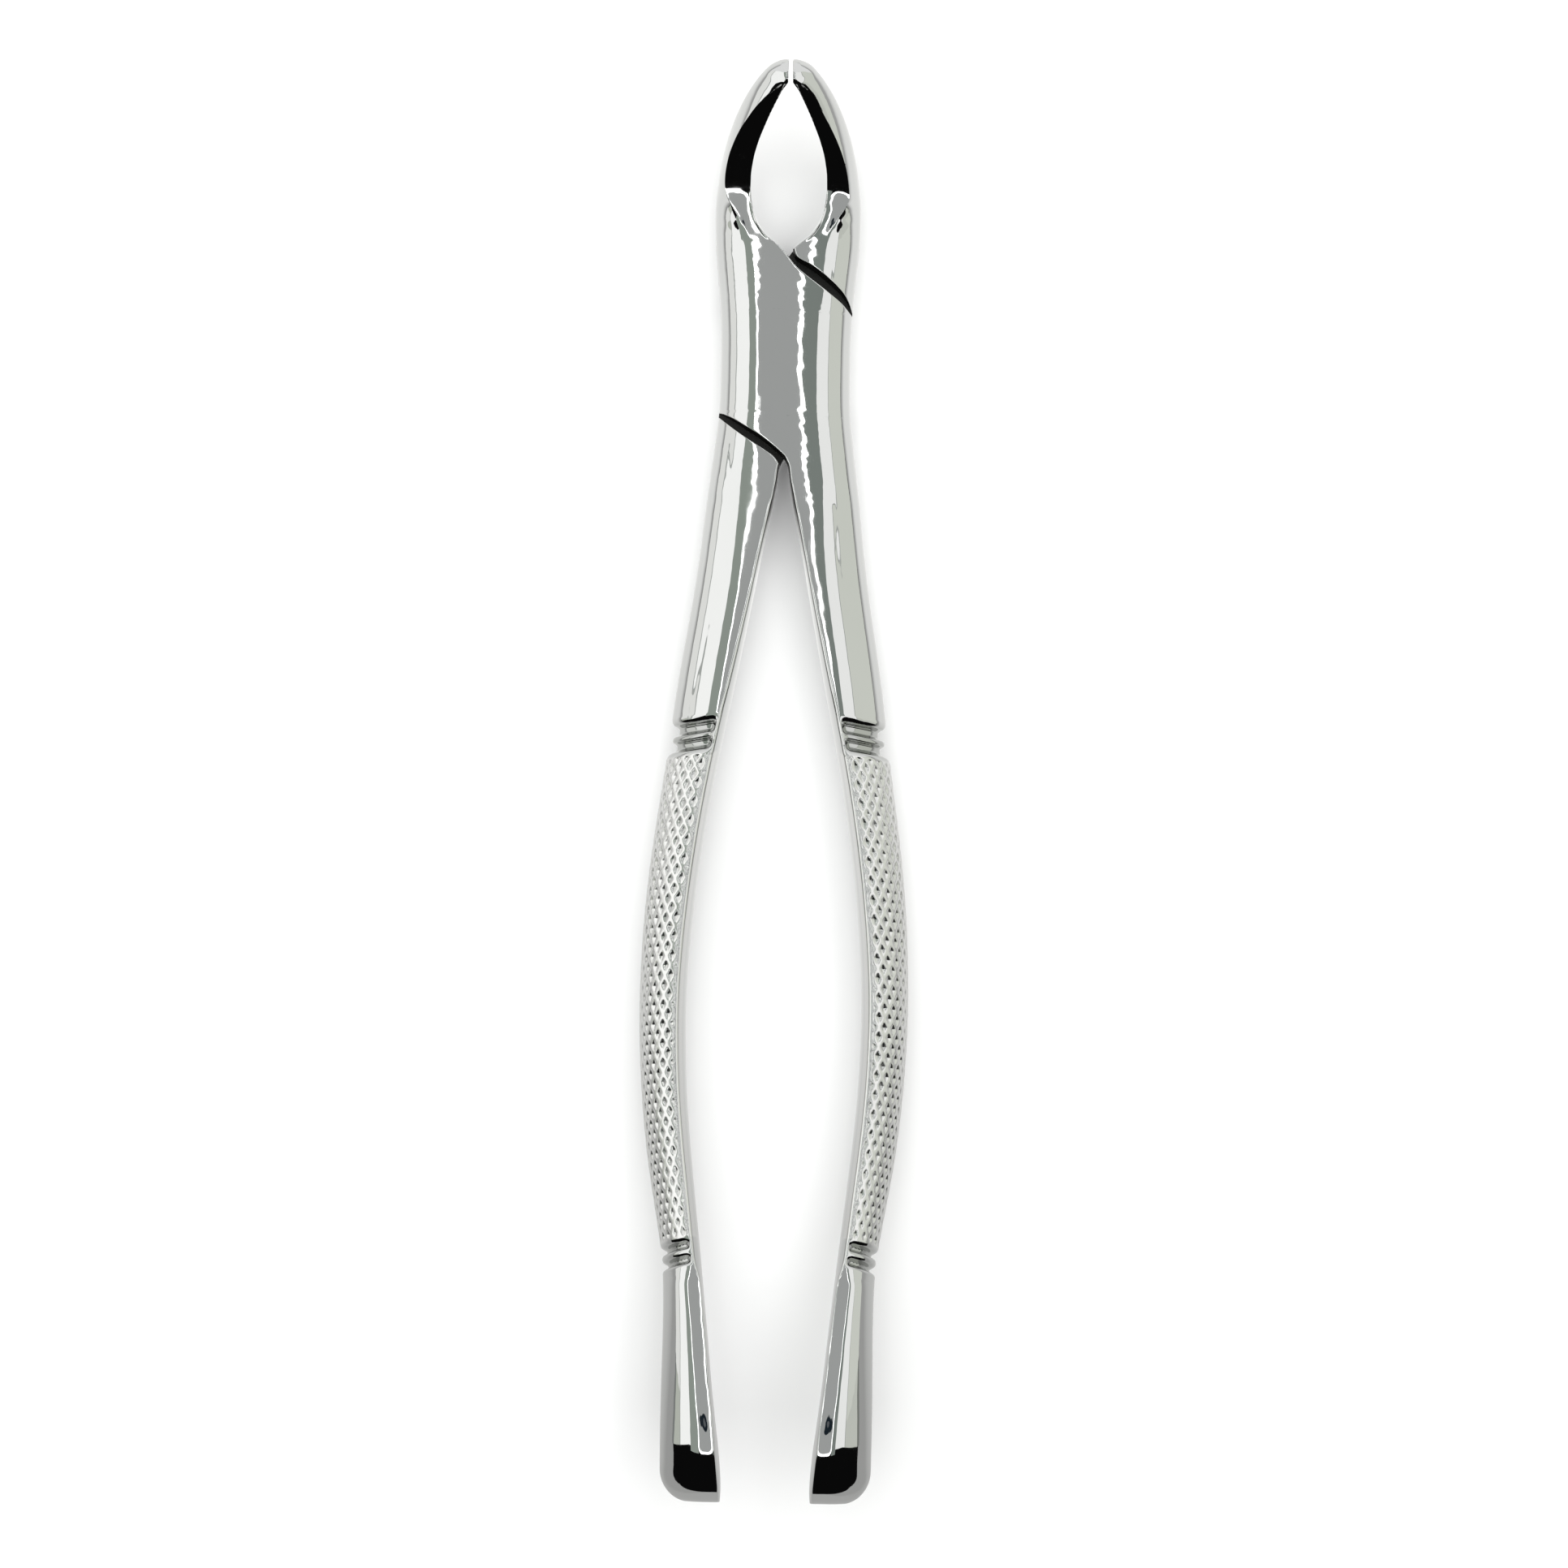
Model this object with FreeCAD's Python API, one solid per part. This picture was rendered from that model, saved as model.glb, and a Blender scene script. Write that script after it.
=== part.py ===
# Extraction forceps, closed, lying on its back: two forged arms crossing in a lap joint and the
# screw that they turn on.  Millimetres.  While the shapes are built the hinge axis is x = y = 0 and
# the resting plane is z = 0; the last step moves the origin to the bottom centre of the whole box.
# +X across the tool, +Y towards the beak tips, +Z up, which is also the way the beaks curve.
import FreeCAD, Part
import math
import os
from FreeCAD import Vector as V

os.makedirs("parts", exist_ok=True)

# ---------------------------------------------------------------- driving dimensions
MID_Z = 4.30            # height of the plane where the two leaves of the joint meet
LEAF_GAP = 0.03         # each leaf stops this far from that plane
BACK_FLAT = 0.04        # ground flat on the back of the joint, the face that the tool rests on
Y_TOP = 13.40           # the joint block ends here, above the upper shoulders
Y_LOW = -13.40          # and here, below the lower shoulders
S_TIP = 39.50           # length along the spine, hinge to beak tip
TIP_FROM = 38.20        # the tip starts to close here
S_END = -140.90         # length along the spine, hinge to handle end
END_R = 7.00            # dome of the handle end, seen from the side
END_CORNER = 4.20       # outer corner of the handle end, seen from above

SCREW_THREAD_R = 1.98   # screw, in the blind hole of the front leaf
THREAD_HOLE_R = 2.00
THREAD_LEN = 2.75
THREAD_HOLE_LEN = 2.95
SCREW_SHOULDER_R = 2.72  # journal that the back leaf turns on
SHOULDER_BORE_R = 2.76
HEAD_R = 3.90           # countersunk head, flush with the back
HEAD_CONE = 1.30
HEAD_RIM = 0.35
HEAD_RECESS = 0.08      # the head sits this far inside the back face
SLOT_W = 0.90
SLOT_D = 0.80

# tilt of the spine towards the front in degrees, against length along the spine from the hinge
TILT_S = [-150, -133.9, -133.2, -132.4, -130.6, -128.8, -122, -112, -104, -95, -86, -77, -66, -52, -40, -28, -18, 0, 9, 13, 16, 19, 20.4, 21.6, 24, 28, 32, 36, 40]
TILT_D = [0, 0, -4.5, -8.2, -10.4, -12.4, -15.2, -15.2, -12.6, -8.4, -4.4, -1.7, -1.0, -1.6, -1.8, -0.9, 0, 0, 0, 2.0, 7.5, 13.7, 18.0, 24.5, 31, 38.5, 45.5, 51, 56]

# half width of the closed tool, outer edge, against y
OUT_Y = [-150, -140, -134, -130, -125, -120, -116, -112, -107, -100, -95, -90, -85, -80, -75, -70, -65, -60, -55,
         -50, -45, -40, -35, -30, -25, -20, -16, -13, -10, -6, -3, 0, 3, 6, 10, 14, 16, 18, 20, 22, 24, 26, 28, 30, 31, 32, 33, 33.6, 34.2, 34.8]
OUT_X = [12.70, 12.78, 12.83, 12.86, 12.86, 12.83, 12.87, 13.08, 13.80, 15.07, 15.76, 16.24, 16.54, 16.66, 16.58, 16.34, 15.93, 15.36, 14.67,
         13.96, 13.33, 12.66, 11.88, 11.07, 10.37, 9.80, 9.33, 8.93, 8.56, 8.14, 8.05, 8.03, 8.06, 8.18, 8.50, 8.88, 8.99, 9.03, 8.96, 8.73, 8.37, 7.85, 7.14, 6.17, 5.56, 4.82, 3.93, 3.28, 2.50, 1.50]
# inner edge of a handle, against y
HIN_Y = [-150, -140, -136, -130, -125, -120, -116, -112, -107, -100, -95, -90, -85, -80, -75, -70, -65, -60, -55, -50,
         -43, -40, -35, -30, -25, -20, -16, -13]
HIN_X = [4.55, 5.20, 5.50, 6.16, 6.78, 7.32, 7.78, 8.24, 8.84, 9.68, 10.22, 10.62, 10.84, 10.89, 10.71, 10.34, 9.83, 9.18, 8.41, 7.52,
         6.13, 5.53, 4.58, 3.63, 2.72, 1.77, 0.98, 0.45]
# inner edge of a beak, against y
BIN_Y = [13.4, 14.2, 15, 16, 18, 20, 22, 24, 26, 28, 30, 31, 32, 33, 34, 34.6]
BIN_X = [0.28, 0.75, 1.70, 2.70, 3.95, 4.48, 4.65, 4.62, 4.35, 3.75, 2.82, 2.28, 1.68, 1.03, 0.50, 0.27]
# half depth of the section, at right angles to the spine, against length along the spine
DEP_S = [-150, -134, -128, -120, -112, -106, -100, -90, -80, -70, -60, -50, -46, -42, -36, -30, -22, 0, 10, 15, 18, 21, 24, 28, 32, 35, 37, 40]
DEP_H = [5.60, 5.60, 5.45, 5.10, 4.80, 4.85, 5.00, 5.22, 5.34, 5.27, 5.10, 4.80, 4.62, 4.50, 4.38, 4.31, 4.30, 4.30, 4.30, 4.28, 4.20, 4.00, 3.62, 3.05, 2.56, 2.22, 2.02, 1.80]
# outer rounding, half width of the ellipse, against y
RND_Y = [-150, -136, -130, -120, -112, -107, -100, -90, -80, -70, -60, -50, -43, -30, -20, -13.4, 0, 13.4, 16, 18, 20, 21.3, 23.1, 25, 27.7, 31.1, 32.6, 34.6]
RND_A = [5.60, 5.60, 5.30, 4.40, 3.80, 3.90, 4.30, 4.50, 4.65, 4.90, 5.05, 5.30, 5.70, 5.60, 5.05, 4.50, 4.40, 4.40, 4.00, 3.10, 1.95, 1.37, 0.95, 0.82, 1.00, 1.70, 2.30, 3.00]

# lap joint, plan view, front half, for the arm whose leaf is in front, x against y: the right edge of
# its leaf running up into the inner edge of its beak, the left edge running down into its shank, and
# the walls of the other arm that face those two edges
EDGE_UP = [(4.6, 9.60), (5.4, 8.75), (6.2, 7.90), (7.13, 7.02), (8.3, 5.48), (9.39, 4.02), (10.4, 2.66), (11.34, 1.52), (12.1, 0.82),
           (12.8, 0.27), (13.4, -0.20), (14.0, -0.66), (14.6, -1.20), (15.2, -1.80), (16.0, -2.62)]
EDGE_LOW = [(-18.0, 1.38), (-16.0, 1.00), (-14.8, 0.80), (-14.0, 0.71), (-13.2, 0.60), (-12.7, 0.42), (-11.9, 0.00), (-11.3, -0.62),
            (-10.4, -1.70), (-9.35, -3.13), (-8.4, -4.65), (-7.4, -6.22), (-6.45, -8.00), (-5.7, -9.60), (-5.0, -11.2)]
WALL_UP = [(0.60, 14.2), (0.96, 13.0), (2.97, 11.75), (5.00, 10.20), (7.00, 8.30), (7.95, 6.75), (8.80, 4.90)]
WALL_LOW = [(-0.50, -14.2), (-0.36, -13.2), (-0.57, -12.7), (-1.08, -12.0), (-2.10, -11.24), (-3.60, -10.3), (-5.13, -9.3), (-6.65, -8.15), (-8.00, -7.05), (-9.60, -5.60)]

# the two pairs of grooves round each handle, as stretches of the spine, and how deep they are
GROOVE_S = [-44.2, -45.0, -45.3, -46.3, -46.5, -47.0, -47.2, -48.1, -48.4, -49.3,
            -108.6, -109.6, -109.9, -110.7, -110.9, -111.5, -111.7, -112.4, -112.7, -113.5]
GROOVE_D = [0, 0.42, 1.15, 1.15, 0.45, 0.45, 1.10, 1.10, 0.30, 0,
            0, 0.15, 0.80, 0.80, 0.12, 0.12, 0.75, 0.75, 0.10, 0]


# ---------------------------------------------------------------- curves
def spline(xs, ys):
    n = len(xs)
    h = [xs[i + 1] - xs[i] for i in range(n - 1)]
    a, b, c, d = [0.0] * n, [1.0] * n, [0.0] * n, [0.0] * n
    for i in range(1, n - 1):
        a[i], b[i], c[i] = h[i - 1], 2 * (h[i - 1] + h[i]), h[i]
        d[i] = 6 * ((ys[i + 1] - ys[i]) / h[i] - (ys[i] - ys[i - 1]) / h[i - 1])
    for i in range(1, n):
        m = a[i] / b[i - 1]
        b[i] -= m * c[i - 1]
        d[i] -= m * d[i - 1]
    k = [0.0] * n
    for i in range(n - 2, 0, -1):
        k[i] = (d[i] - c[i] * k[i + 1]) / b[i]

    def f(x):
        i = 0
        while i < n - 2 and x > xs[i + 1]:
            i += 1
        x = min(max(x, xs[0]), xs[-1])
        t, u = x - xs[i], xs[i + 1] - x
        return (k[i] * u ** 3 + k[i + 1] * t ** 3) / (6 * h[i]) + (ys[i] / h[i] - k[i] * h[i] / 6) * u \
            + (ys[i + 1] / h[i] - k[i + 1] * h[i] / 6) * t
    return f


def monotone(xs, ys):
    n = len(xs)
    h = [xs[i + 1] - xs[i] for i in range(n - 1)]
    dl = [(ys[i + 1] - ys[i]) / h[i] for i in range(n - 1)]
    m = [dl[0]] + [0.0] * (n - 2) + [dl[-1]]
    for i in range(1, n - 1):
        if dl[i - 1] * dl[i] > 0:
            w1, w2 = 2 * h[i] + h[i - 1], h[i] + 2 * h[i - 1]
            m[i] = (w1 + w2) / (w1 / dl[i - 1] + w2 / dl[i])

    def f(x):
        if x <= xs[0]:
            return ys[0]
        if x >= xs[-1]:
            return ys[-1]
        i = 0
        while x > xs[i + 1]:
            i += 1
        t = (x - xs[i]) / h[i]
        return ys[i] * (1 + 2 * t) * (1 - t) ** 2 + h[i] * m[i] * t * (1 - t) ** 2 \
            + ys[i + 1] * t * t * (3 - 2 * t) - h[i] * m[i + 1] * t * t * (1 - t)
    return f


tilt_deg = monotone(TILT_S, TILT_D)
half_out = spline(OUT_Y, OUT_X)
handle_in = spline(HIN_Y, HIN_X)
beak_in = monotone(BIN_Y, BIN_X)
half_depth = monotone(DEP_S, DEP_H)
round_a = monotone(RND_Y, RND_A)


def spine_table():
    step = 0.1
    up, down = [(0.0, 0.0, MID_Z)], []
    s, y, z = up[0]
    while s < 42:
        t = math.radians(tilt_deg(s + step / 2))
        s, y, z = s + step, y + math.cos(t) * step, z + math.sin(t) * step
        up.append((s, y, z))
    s, y, z = up[0]
    while s > -145:
        t = math.radians(tilt_deg(s - step / 2))
        s, y, z = s - step, y - math.cos(t) * step, z - math.sin(t) * step
        down.append((s, y, z))
    return down[::-1] + up


SPINE = spine_table()


def spine(s):
    i = int((s - SPINE[0][0]) / 0.1)
    i = min(max(i, 0), len(SPINE) - 2)
    a, b = SPINE[i], SPINE[i + 1]
    f = (s - a[0]) / (b[0] - a[0])
    return a[1] + (b[1] - a[1]) * f, a[2] + (b[2] - a[2]) * f


def place(s, x, w):
    """A point of the section at s: x across, w towards the front, at right angles to the spine."""
    y, z = spine(s)
    t = math.radians(tilt_deg(s))
    return V(x, y - w * math.sin(t), z + w * math.cos(t))


def groove(s):
    if s >= GROOVE_S[0] or s <= GROOVE_S[-1]:
        return 0.0
    i = 0
    while s < GROOVE_S[i + 1]:
        i += 1
    f = (s - GROOVE_S[i]) / (GROOVE_S[i + 1] - GROOVE_S[i])
    return GROOVE_D[i] + (GROOVE_D[i + 1] - GROOVE_D[i]) * f


edge_up = monotone([p[0] for p in EDGE_UP], [p[1] for p in EDGE_UP])
edge_low = monotone([p[0] for p in EDGE_LOW], [p[1] for p in EDGE_LOW])


def corner(c, p, n=14):
    """A rounded corner of width c, from the foot of the wall up to the face: (distance in, height 0 to 1)."""
    ph = sorted([math.pi / 2 * i / n for i in range(n + 1)] + [math.asin(min(1.0, (i / n) ** (p / 2.0))) for i in range(1, n)])
    return [(c * (1 - math.cos(f) ** (2 / p)), math.sin(f) ** (2 / p)) for f in ph]


def wall_factor(d, c, p):
    if d >= c:
        return 1.0
    return (1 - (1 - max(0.0, d) / c) ** p) ** (1 / p)


def side_factor(d, a):
    if d >= a:
        return 1.0
    return math.sqrt(max(0.0, 1 - (1 - max(0.0, d) / a) ** 2))


def front_curve(s):
    """Front half of the section at s of the arm with its beak on the left: from the left end at mid
    depth, over the front, to the right end at mid depth.  Points are (x, w)."""
    y = spine(s)[0]
    h = half_depth(s)
    n = 24
    if y > 16.0:                                             # beak
        out, inn, a = half_out(min(y, 34.8)), beak_in(y), round_a(y)
        if s > TIP_FROM:
            q = min(1.0, (s - TIP_FROM) / (S_TIP - TIP_FROM))
            out = inn + (out - inn) * math.sqrt(max(0.0, 1 - 0.75 * q * q))
            h *= math.sqrt(max(0.0, 1 - 0.93 * q * q))
        c = min(0.45, 0.3 * (out - inn))
        a = min(a, out - inn - c - 0.02)
        hollow = 0.75 * min(1.0, max(0.0, (y - 16) / 5.0)) * min(1.0, max(0.0, (34 - y) / 5.0))
        pts = [(-out + a * (1 - math.cos(math.pi / 2 * i / n)), h * math.sin(math.pi / 2 * i / n)) for i in range(n + 1)]
        m = 6
        pts += [(-out + a + (out - a - inn - c) * i / m, h) for i in range(1, m)]
        pts += [(-inn - d - hollow * (1 - w * w), h * w) for d, w in corner(c, 4.5)[::-1]]
        return pts
    if y < -18.0:                                            # shank and handle
        out, inn, a = half_out(y), handle_in(y), round_a(y)
        f = min(1.0, (-y - 13.4) / 30.0)
        c = 0.45 + 0.65 * f
        if y < -116:
            c += 0.3 * min(1.0, (-116 - y) / 14)
        p = 5.0 - 2.9 * f
        inset = groove(s)
        out -= inset
        h -= inset
        a -= 0.3 * inset
        dome = S_END + END_R
        if s < dome:
            q = min(1.0, (dome - s) / END_R)
            h *= math.sqrt(max(0.0, 1 - q * q))
        corner_s = S_END + END_CORNER
        if s < corner_s:
            q = min(1.0, (corner_s - s) / END_CORNER)
            out -= END_CORNER * 0.9 * (1 - math.sqrt(max(0.0, 1 - q * q)))
            inn += 0.25 * q * q * q
            c = min(c, 0.24 * (out - inn))
            a = min(a, 0.72 * (out - inn))
        a = min(a, out - inn - c - 0.02)
        pts = [(inn + d, h * w) for d, w in corner(c, p)]
        m = 6
        x0, x1 = inn + c, out - a
        pts += [(x0 + (x1 - x0) * i / m, h) for i in range(1, m)]
        pts += [(out - a * (1 - math.cos(math.pi / 2 * i / n)), h * math.sin(math.pi / 2 * i / n)) for i in range(n, -1, -1)]
        return pts
    # the joint and the roots of beak and shank
    out, a = half_out(y), round_a(y)
    c, p = 0.45, 5.0
    if y < -13.4:
        f = (-y - 13.4) / 30.0
        c, p = 0.45 + 0.65 * f, 5.0 - 2.9 * f
    xl = edge_low(y) if y < 0 else -99.0
    xr = edge_up(y) if y > 0 else 99.0
    lo, hi = max(xl, -out), min(xr, out)
    xs = set([lo, hi] + [lo + (hi - lo) * i / 24 for i in range(25)])
    for i in range(n + 1):
        d = a * (1 - math.cos(math.pi / 2 * i / n))
        xs.update([-out + d, out - d])
    for d, w in corner(c, p):
        xs.update([xl + d, xr - d])
    xs = sorted(x for x in xs if lo <= x <= hi)
    keep = [xs[0]]
    for x in xs[1:]:
        if x - keep[-1] > 1e-5:
            keep.append(x)
    keep[-1] = xs[-1]
    return [(x, h * side_factor(x + out, a) * side_factor(out - x, a) * wall_factor(x - xl, c, p) * wall_factor(xr - x, c, p))
            for x in keep]


def resample(pts, n, turn=0.9):
    """n + 1 points along the same line, closer together where it bends."""
    m, ang = [0.0], []
    for i in range(len(pts) - 1):
        ang.append(math.atan2(pts[i + 1][1] - pts[i][1], pts[i + 1][0] - pts[i][0]))
    for i in range(len(pts) - 1):
        d = math.hypot(pts[i + 1][0] - pts[i][0], pts[i + 1][1] - pts[i][1])
        t = 0.0
        if i > 0:
            t += abs(math.remainder(ang[i] - ang[i - 1], 2 * math.pi)) / 2
        if i < len(ang) - 1:
            t += abs(math.remainder(ang[i + 1] - ang[i], 2 * math.pi)) / 2
        m.append(m[-1] + d + turn * t + 1e-9)
    out, j = [], 0
    for k in range(n + 1):
        want = m[-1] * k / n
        while j < len(m) - 2 and m[j + 1] < want:
            j += 1
        f = (want - m[j]) / (m[j + 1] - m[j])
        f = min(max(f, 0.0), 1.0)
        out.append((pts[j][0] + (pts[j + 1][0] - pts[j][0]) * f, pts[j][1] + (pts[j + 1][1] - pts[j][1]) * f))
    out[0] = (pts[0][0], 0.0)
    out[-1] = (pts[-1][0], 0.0)
    return out


def section_wire(s, n=24):
    pts = resample(front_curve(s), n)
    loop = pts + [(x, -w) for x, w in pts[-2:0:-1]]
    c = Part.BSplineCurve()
    c.interpolate(Points=[place(s, x, w) for x, w in loop], PeriodicFlag=True)
    return Part.Wire([c.toShape()])


def curve_edge(points):
    c = Part.BSplineCurve()
    c.interpolate(Points=[V(x, y, 0) for x, y in points])
    return c.toShape()


def prism(runs, z0, z1):
    """A column over an outline: each run is a smooth line through its points, joined by straight ones."""
    edges = []
    for i, run in enumerate(runs):
        edges.append(curve_edge(run) if len(run) > 2 else Part.makeLine(V(*run[0], 0), V(*run[1], 0)))
        a, b = run[-1], runs[(i + 1) % len(runs)][0]
        if math.hypot(a[0] - b[0], a[1] - b[1]) > 1e-6:
            edges.append(Part.makeLine(V(*a, 0), V(*b, 0)))
    f = Part.Face(Part.Wire(edges))
    f.translate(V(0, 0, z0))
    return f.extrude(V(0, 0, z1 - z0))


# ---------------------------------------------------------------- one arm
def stations():
    ss = []

    def run(a, b, step):
        k = max(1, int(round(abs(b - a) / step)))
        for i in range(k):
            ss.append(a + (b - a) * i / k)
    for i in range(7, 0, -1):
        ss.append(36.4 + (S_TIP - 36.4) * math.sin(math.radians(82.0 * i / 7)))
    run(36.4, 16.4, 1.0)
    run(16.4, 5.6, 0.36)
    run(5.6, -5.4, 2.2)
    run(-5.4, -14.4, 0.36)
    run(-14.4, -18.0, 0.9)
    run(-18.0, -43.0, 2.5)
    run(-43.0, GROOVE_S[0], 1.2)
    ss.extend(GROOVE_S[:9])
    run(GROOVE_S[9], GROOVE_S[10], 2.6)
    ss.extend(GROOVE_S[10:19])
    run(GROOVE_S[19], S_END + END_R, 2.4)
    for i in range(11):
        ss.append(S_END + END_R - END_R * math.sin(math.radians(84.0 * i / 11)))
    return ss


BIG = 30.0


def mirror_x(points):
    return [(-x, y) for x, y in points]


whole = Part.makeLoft([section_wire(s) for s in stations()], True, True)
print("arm before the lap joint", whole.isValid(), round(whole.Volume, 1), len(whole.Faces))
# what the other arm's leaf takes out of the back half: the band between the mirrored walls
up, low = mirror_x(WALL_UP), mirror_x(WALL_LOW)
band = prism([up, [(-BIG, up[-1][1]), (-BIG, -BIG)], [(low[0][0], -BIG), low[0]], low,
              [(BIG, low[-1][1]), (BIG, BIG)], [(up[0][0], BIG), up[0]]], -BIG, MID_Z + LEAF_GAP)
bottom = Part.makeBox(60, 80, 5, V(-30, -48, BACK_FLAT - 5))
front = whole.cut(band)
print("with its leaf", front.isValid(), round(front.Volume, 1), len(front.Solids))
# ---------------------------------------------------------------- screw and its holes
Z_BACK = BACK_FLAT
head_z = Z_BACK + HEAD_RECESS


def revolve(profile):
    w = Part.makePolygon([V(r, 0, z) for r, z in profile] + [V(profile[0][0], 0, profile[0][1])])
    return Part.Face(w).revolve(V(0, 0, 0), V(0, 0, 1), 360)


z_leaf = MID_Z + LEAF_GAP
screw = revolve([(0, head_z), (HEAD_R, head_z), (HEAD_R, head_z + HEAD_RIM),
                 (SCREW_SHOULDER_R, head_z + HEAD_RIM + HEAD_CONE), (SCREW_SHOULDER_R, z_leaf - 0.01),
                 (SCREW_THREAD_R, z_leaf - 0.01), (SCREW_THREAD_R, z_leaf + THREAD_LEN - 0.3),
                 (SCREW_THREAD_R - 0.3, z_leaf + THREAD_LEN), (0, z_leaf + THREAD_LEN)])
slot = Part.makeBox(HEAD_R * 3, SLOT_W, SLOT_D + 1, V(-HEAD_R * 1.5, -SLOT_W / 2, head_z - 1))
slot.rotate(V(0, 0, 0), V(0, 0, 1), 35)
screw = screw.cut(slot)

front_hole = revolve([(0, z_leaf - 2), (THREAD_HOLE_R, z_leaf - 2), (THREAD_HOLE_R, z_leaf + THREAD_HOLE_LEN),
                      (0, z_leaf + THREAD_HOLE_LEN)])
seat = 0.04
back_hole = revolve([(0, -2), (HEAD_R + seat, -2), (HEAD_R + seat, head_z + HEAD_RIM + 0.02),
                     (SHOULDER_BORE_R, head_z + HEAD_RIM + HEAD_CONE + 0.02), (SHOULDER_BORE_R, z_leaf + 2),
                     (0, z_leaf + 2)])
front = front.cut(bottom).cut(front_hole)
# the other arm: beak on the right, leaf behind; its leaf hides behind the front one
band_back = prism([WALL_UP, [(BIG, up[-1][1]), (BIG, -BIG)], [(-low[0][0], -BIG), (-low[0][0], low[0][1])], WALL_LOW,
                   [(-BIG, low[-1][1]), (-BIG, BIG)], [(-up[0][0], BIG), (-up[0][0], up[0][1])]], MID_Z - LEAF_GAP, BIG)
back = whole.mirror(V(0, 0, 0), V(1, 0, 0)).cut(band_back).cut(bottom).cut(back_hole)


def largest(shape):
    sol = sorted(shape.Solids, key=lambda s: -s.Volume)
    return sol[0]


nodes = {"front_arm": largest(front), "back_arm": largest(back), "pivot_screw": largest(screw)}
boxes = [n.optimalBoundingBox(True) for n in nodes.values()]
x0, x1 = min(b.XMin for b in boxes), max(b.XMax for b in boxes)
y0, y1 = min(b.YMin for b in boxes), max(b.YMax for b in boxes)
z0 = min(b.ZMin for b in boxes)
z1 = max(b.ZMax for b in boxes)
shift = V(-(x0 + x1) / 2, -(y0 + y1) / 2, -z0)
print("box", round(x1 - x0, 3), round(y1 - y0, 3), round(z1 - z0, 3), "shift", [round(v, 4) for v in shift])
print("hinge at", round(shift.x, 4), round(shift.y, 4), round(MID_Z + shift.z, 4))
for name, shape in nodes.items():
    shape.translate(shift)
    print(name, shape.ShapeType, "valid", shape.isValid(), "solids", len(shape.Solids), "faces", len(shape.Faces),
          "volume", round(shape.Volume, 1), "mass g", round(shape.Volume * 7.8e-3, 1))
    shape.exportStep("parts/%s.step" % name)
print("common", round(nodes["front_arm"].common(nodes["back_arm"]).Volume, 5),
      round(nodes["front_arm"].common(nodes["pivot_screw"]).Volume, 5),
      round(nodes["back_arm"].common(nodes["pivot_screw"]).Volume, 5))
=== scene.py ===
import math

import bpy
import bmesh
import numpy as np
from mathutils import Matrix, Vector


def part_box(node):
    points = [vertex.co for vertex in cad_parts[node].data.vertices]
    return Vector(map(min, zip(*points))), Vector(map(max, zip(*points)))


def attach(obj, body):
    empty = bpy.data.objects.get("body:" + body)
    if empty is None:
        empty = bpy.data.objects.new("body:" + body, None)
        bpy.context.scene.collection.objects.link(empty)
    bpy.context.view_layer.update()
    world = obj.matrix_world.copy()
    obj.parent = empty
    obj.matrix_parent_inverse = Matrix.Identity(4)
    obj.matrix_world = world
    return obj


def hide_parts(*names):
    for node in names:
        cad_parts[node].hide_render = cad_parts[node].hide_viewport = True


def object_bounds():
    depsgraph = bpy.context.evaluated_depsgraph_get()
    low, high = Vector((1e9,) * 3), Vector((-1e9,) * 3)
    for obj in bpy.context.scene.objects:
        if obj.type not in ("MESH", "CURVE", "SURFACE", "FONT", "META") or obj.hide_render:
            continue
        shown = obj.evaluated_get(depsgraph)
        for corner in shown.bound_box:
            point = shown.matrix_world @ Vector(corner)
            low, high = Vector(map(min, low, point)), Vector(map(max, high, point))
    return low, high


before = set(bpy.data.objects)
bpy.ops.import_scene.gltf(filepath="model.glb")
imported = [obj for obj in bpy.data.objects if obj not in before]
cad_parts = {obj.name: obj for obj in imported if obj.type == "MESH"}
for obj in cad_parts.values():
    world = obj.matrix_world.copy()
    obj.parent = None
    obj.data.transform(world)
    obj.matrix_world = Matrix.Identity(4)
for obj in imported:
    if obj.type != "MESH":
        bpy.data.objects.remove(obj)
cad_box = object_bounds()

# ---------------------------------------------------------------- the arms' dimensions, mm, as in the part
MID_Z, LEAF_GAP, BACK_FLAT = 4.30, 0.03, 0.04
S_TIP, S_END, END_R, END_CORNER = 39.50, -140.90, 7.00, 4.20
TIP_FROM = 38.20
TILT_S = [-150, -133.9, -133.2, -132.4, -130.6, -128.8, -122, -112, -104, -95, -86, -77, -66, -52, -40, -28, -18, 0, 9, 13, 16, 19, 20.4, 21.6, 24, 28, 32, 36, 40]
TILT_D = [0, 0, -4.5, -8.2, -10.4, -12.4, -15.2, -15.2, -12.6, -8.4, -4.4, -1.7, -1.0, -1.6, -1.8, -0.9, 0, 0, 0, 2.0, 7.5, 13.7, 18.0, 24.5, 31, 38.5, 45.5, 51, 56]
OUT_Y = [-150, -140, -134, -130, -125, -120, -116, -112, -107, -100, -95, -90, -85, -80, -75, -70, -65, -60, -55,
         -50, -45, -40, -35, -30, -25, -20, -16, -13, -10, -6, -3, 0, 3, 6, 10, 14, 16, 18, 20, 22, 24, 26, 28, 30, 31, 32, 33, 33.6, 34.2, 34.8]
OUT_X = [12.70, 12.78, 12.83, 12.86, 12.86, 12.83, 12.87, 13.08, 13.80, 15.07, 15.76, 16.24, 16.54, 16.66, 16.58, 16.34, 15.93, 15.36, 14.67,
         13.96, 13.33, 12.66, 11.88, 11.07, 10.37, 9.80, 9.33, 8.93, 8.56, 8.14, 8.05, 8.03, 8.06, 8.18, 8.50, 8.88, 8.99, 9.03, 8.96, 8.73, 8.37, 7.85, 7.14, 6.17, 5.56, 4.82, 3.90, 3.20, 2.32, 1.15]
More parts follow.
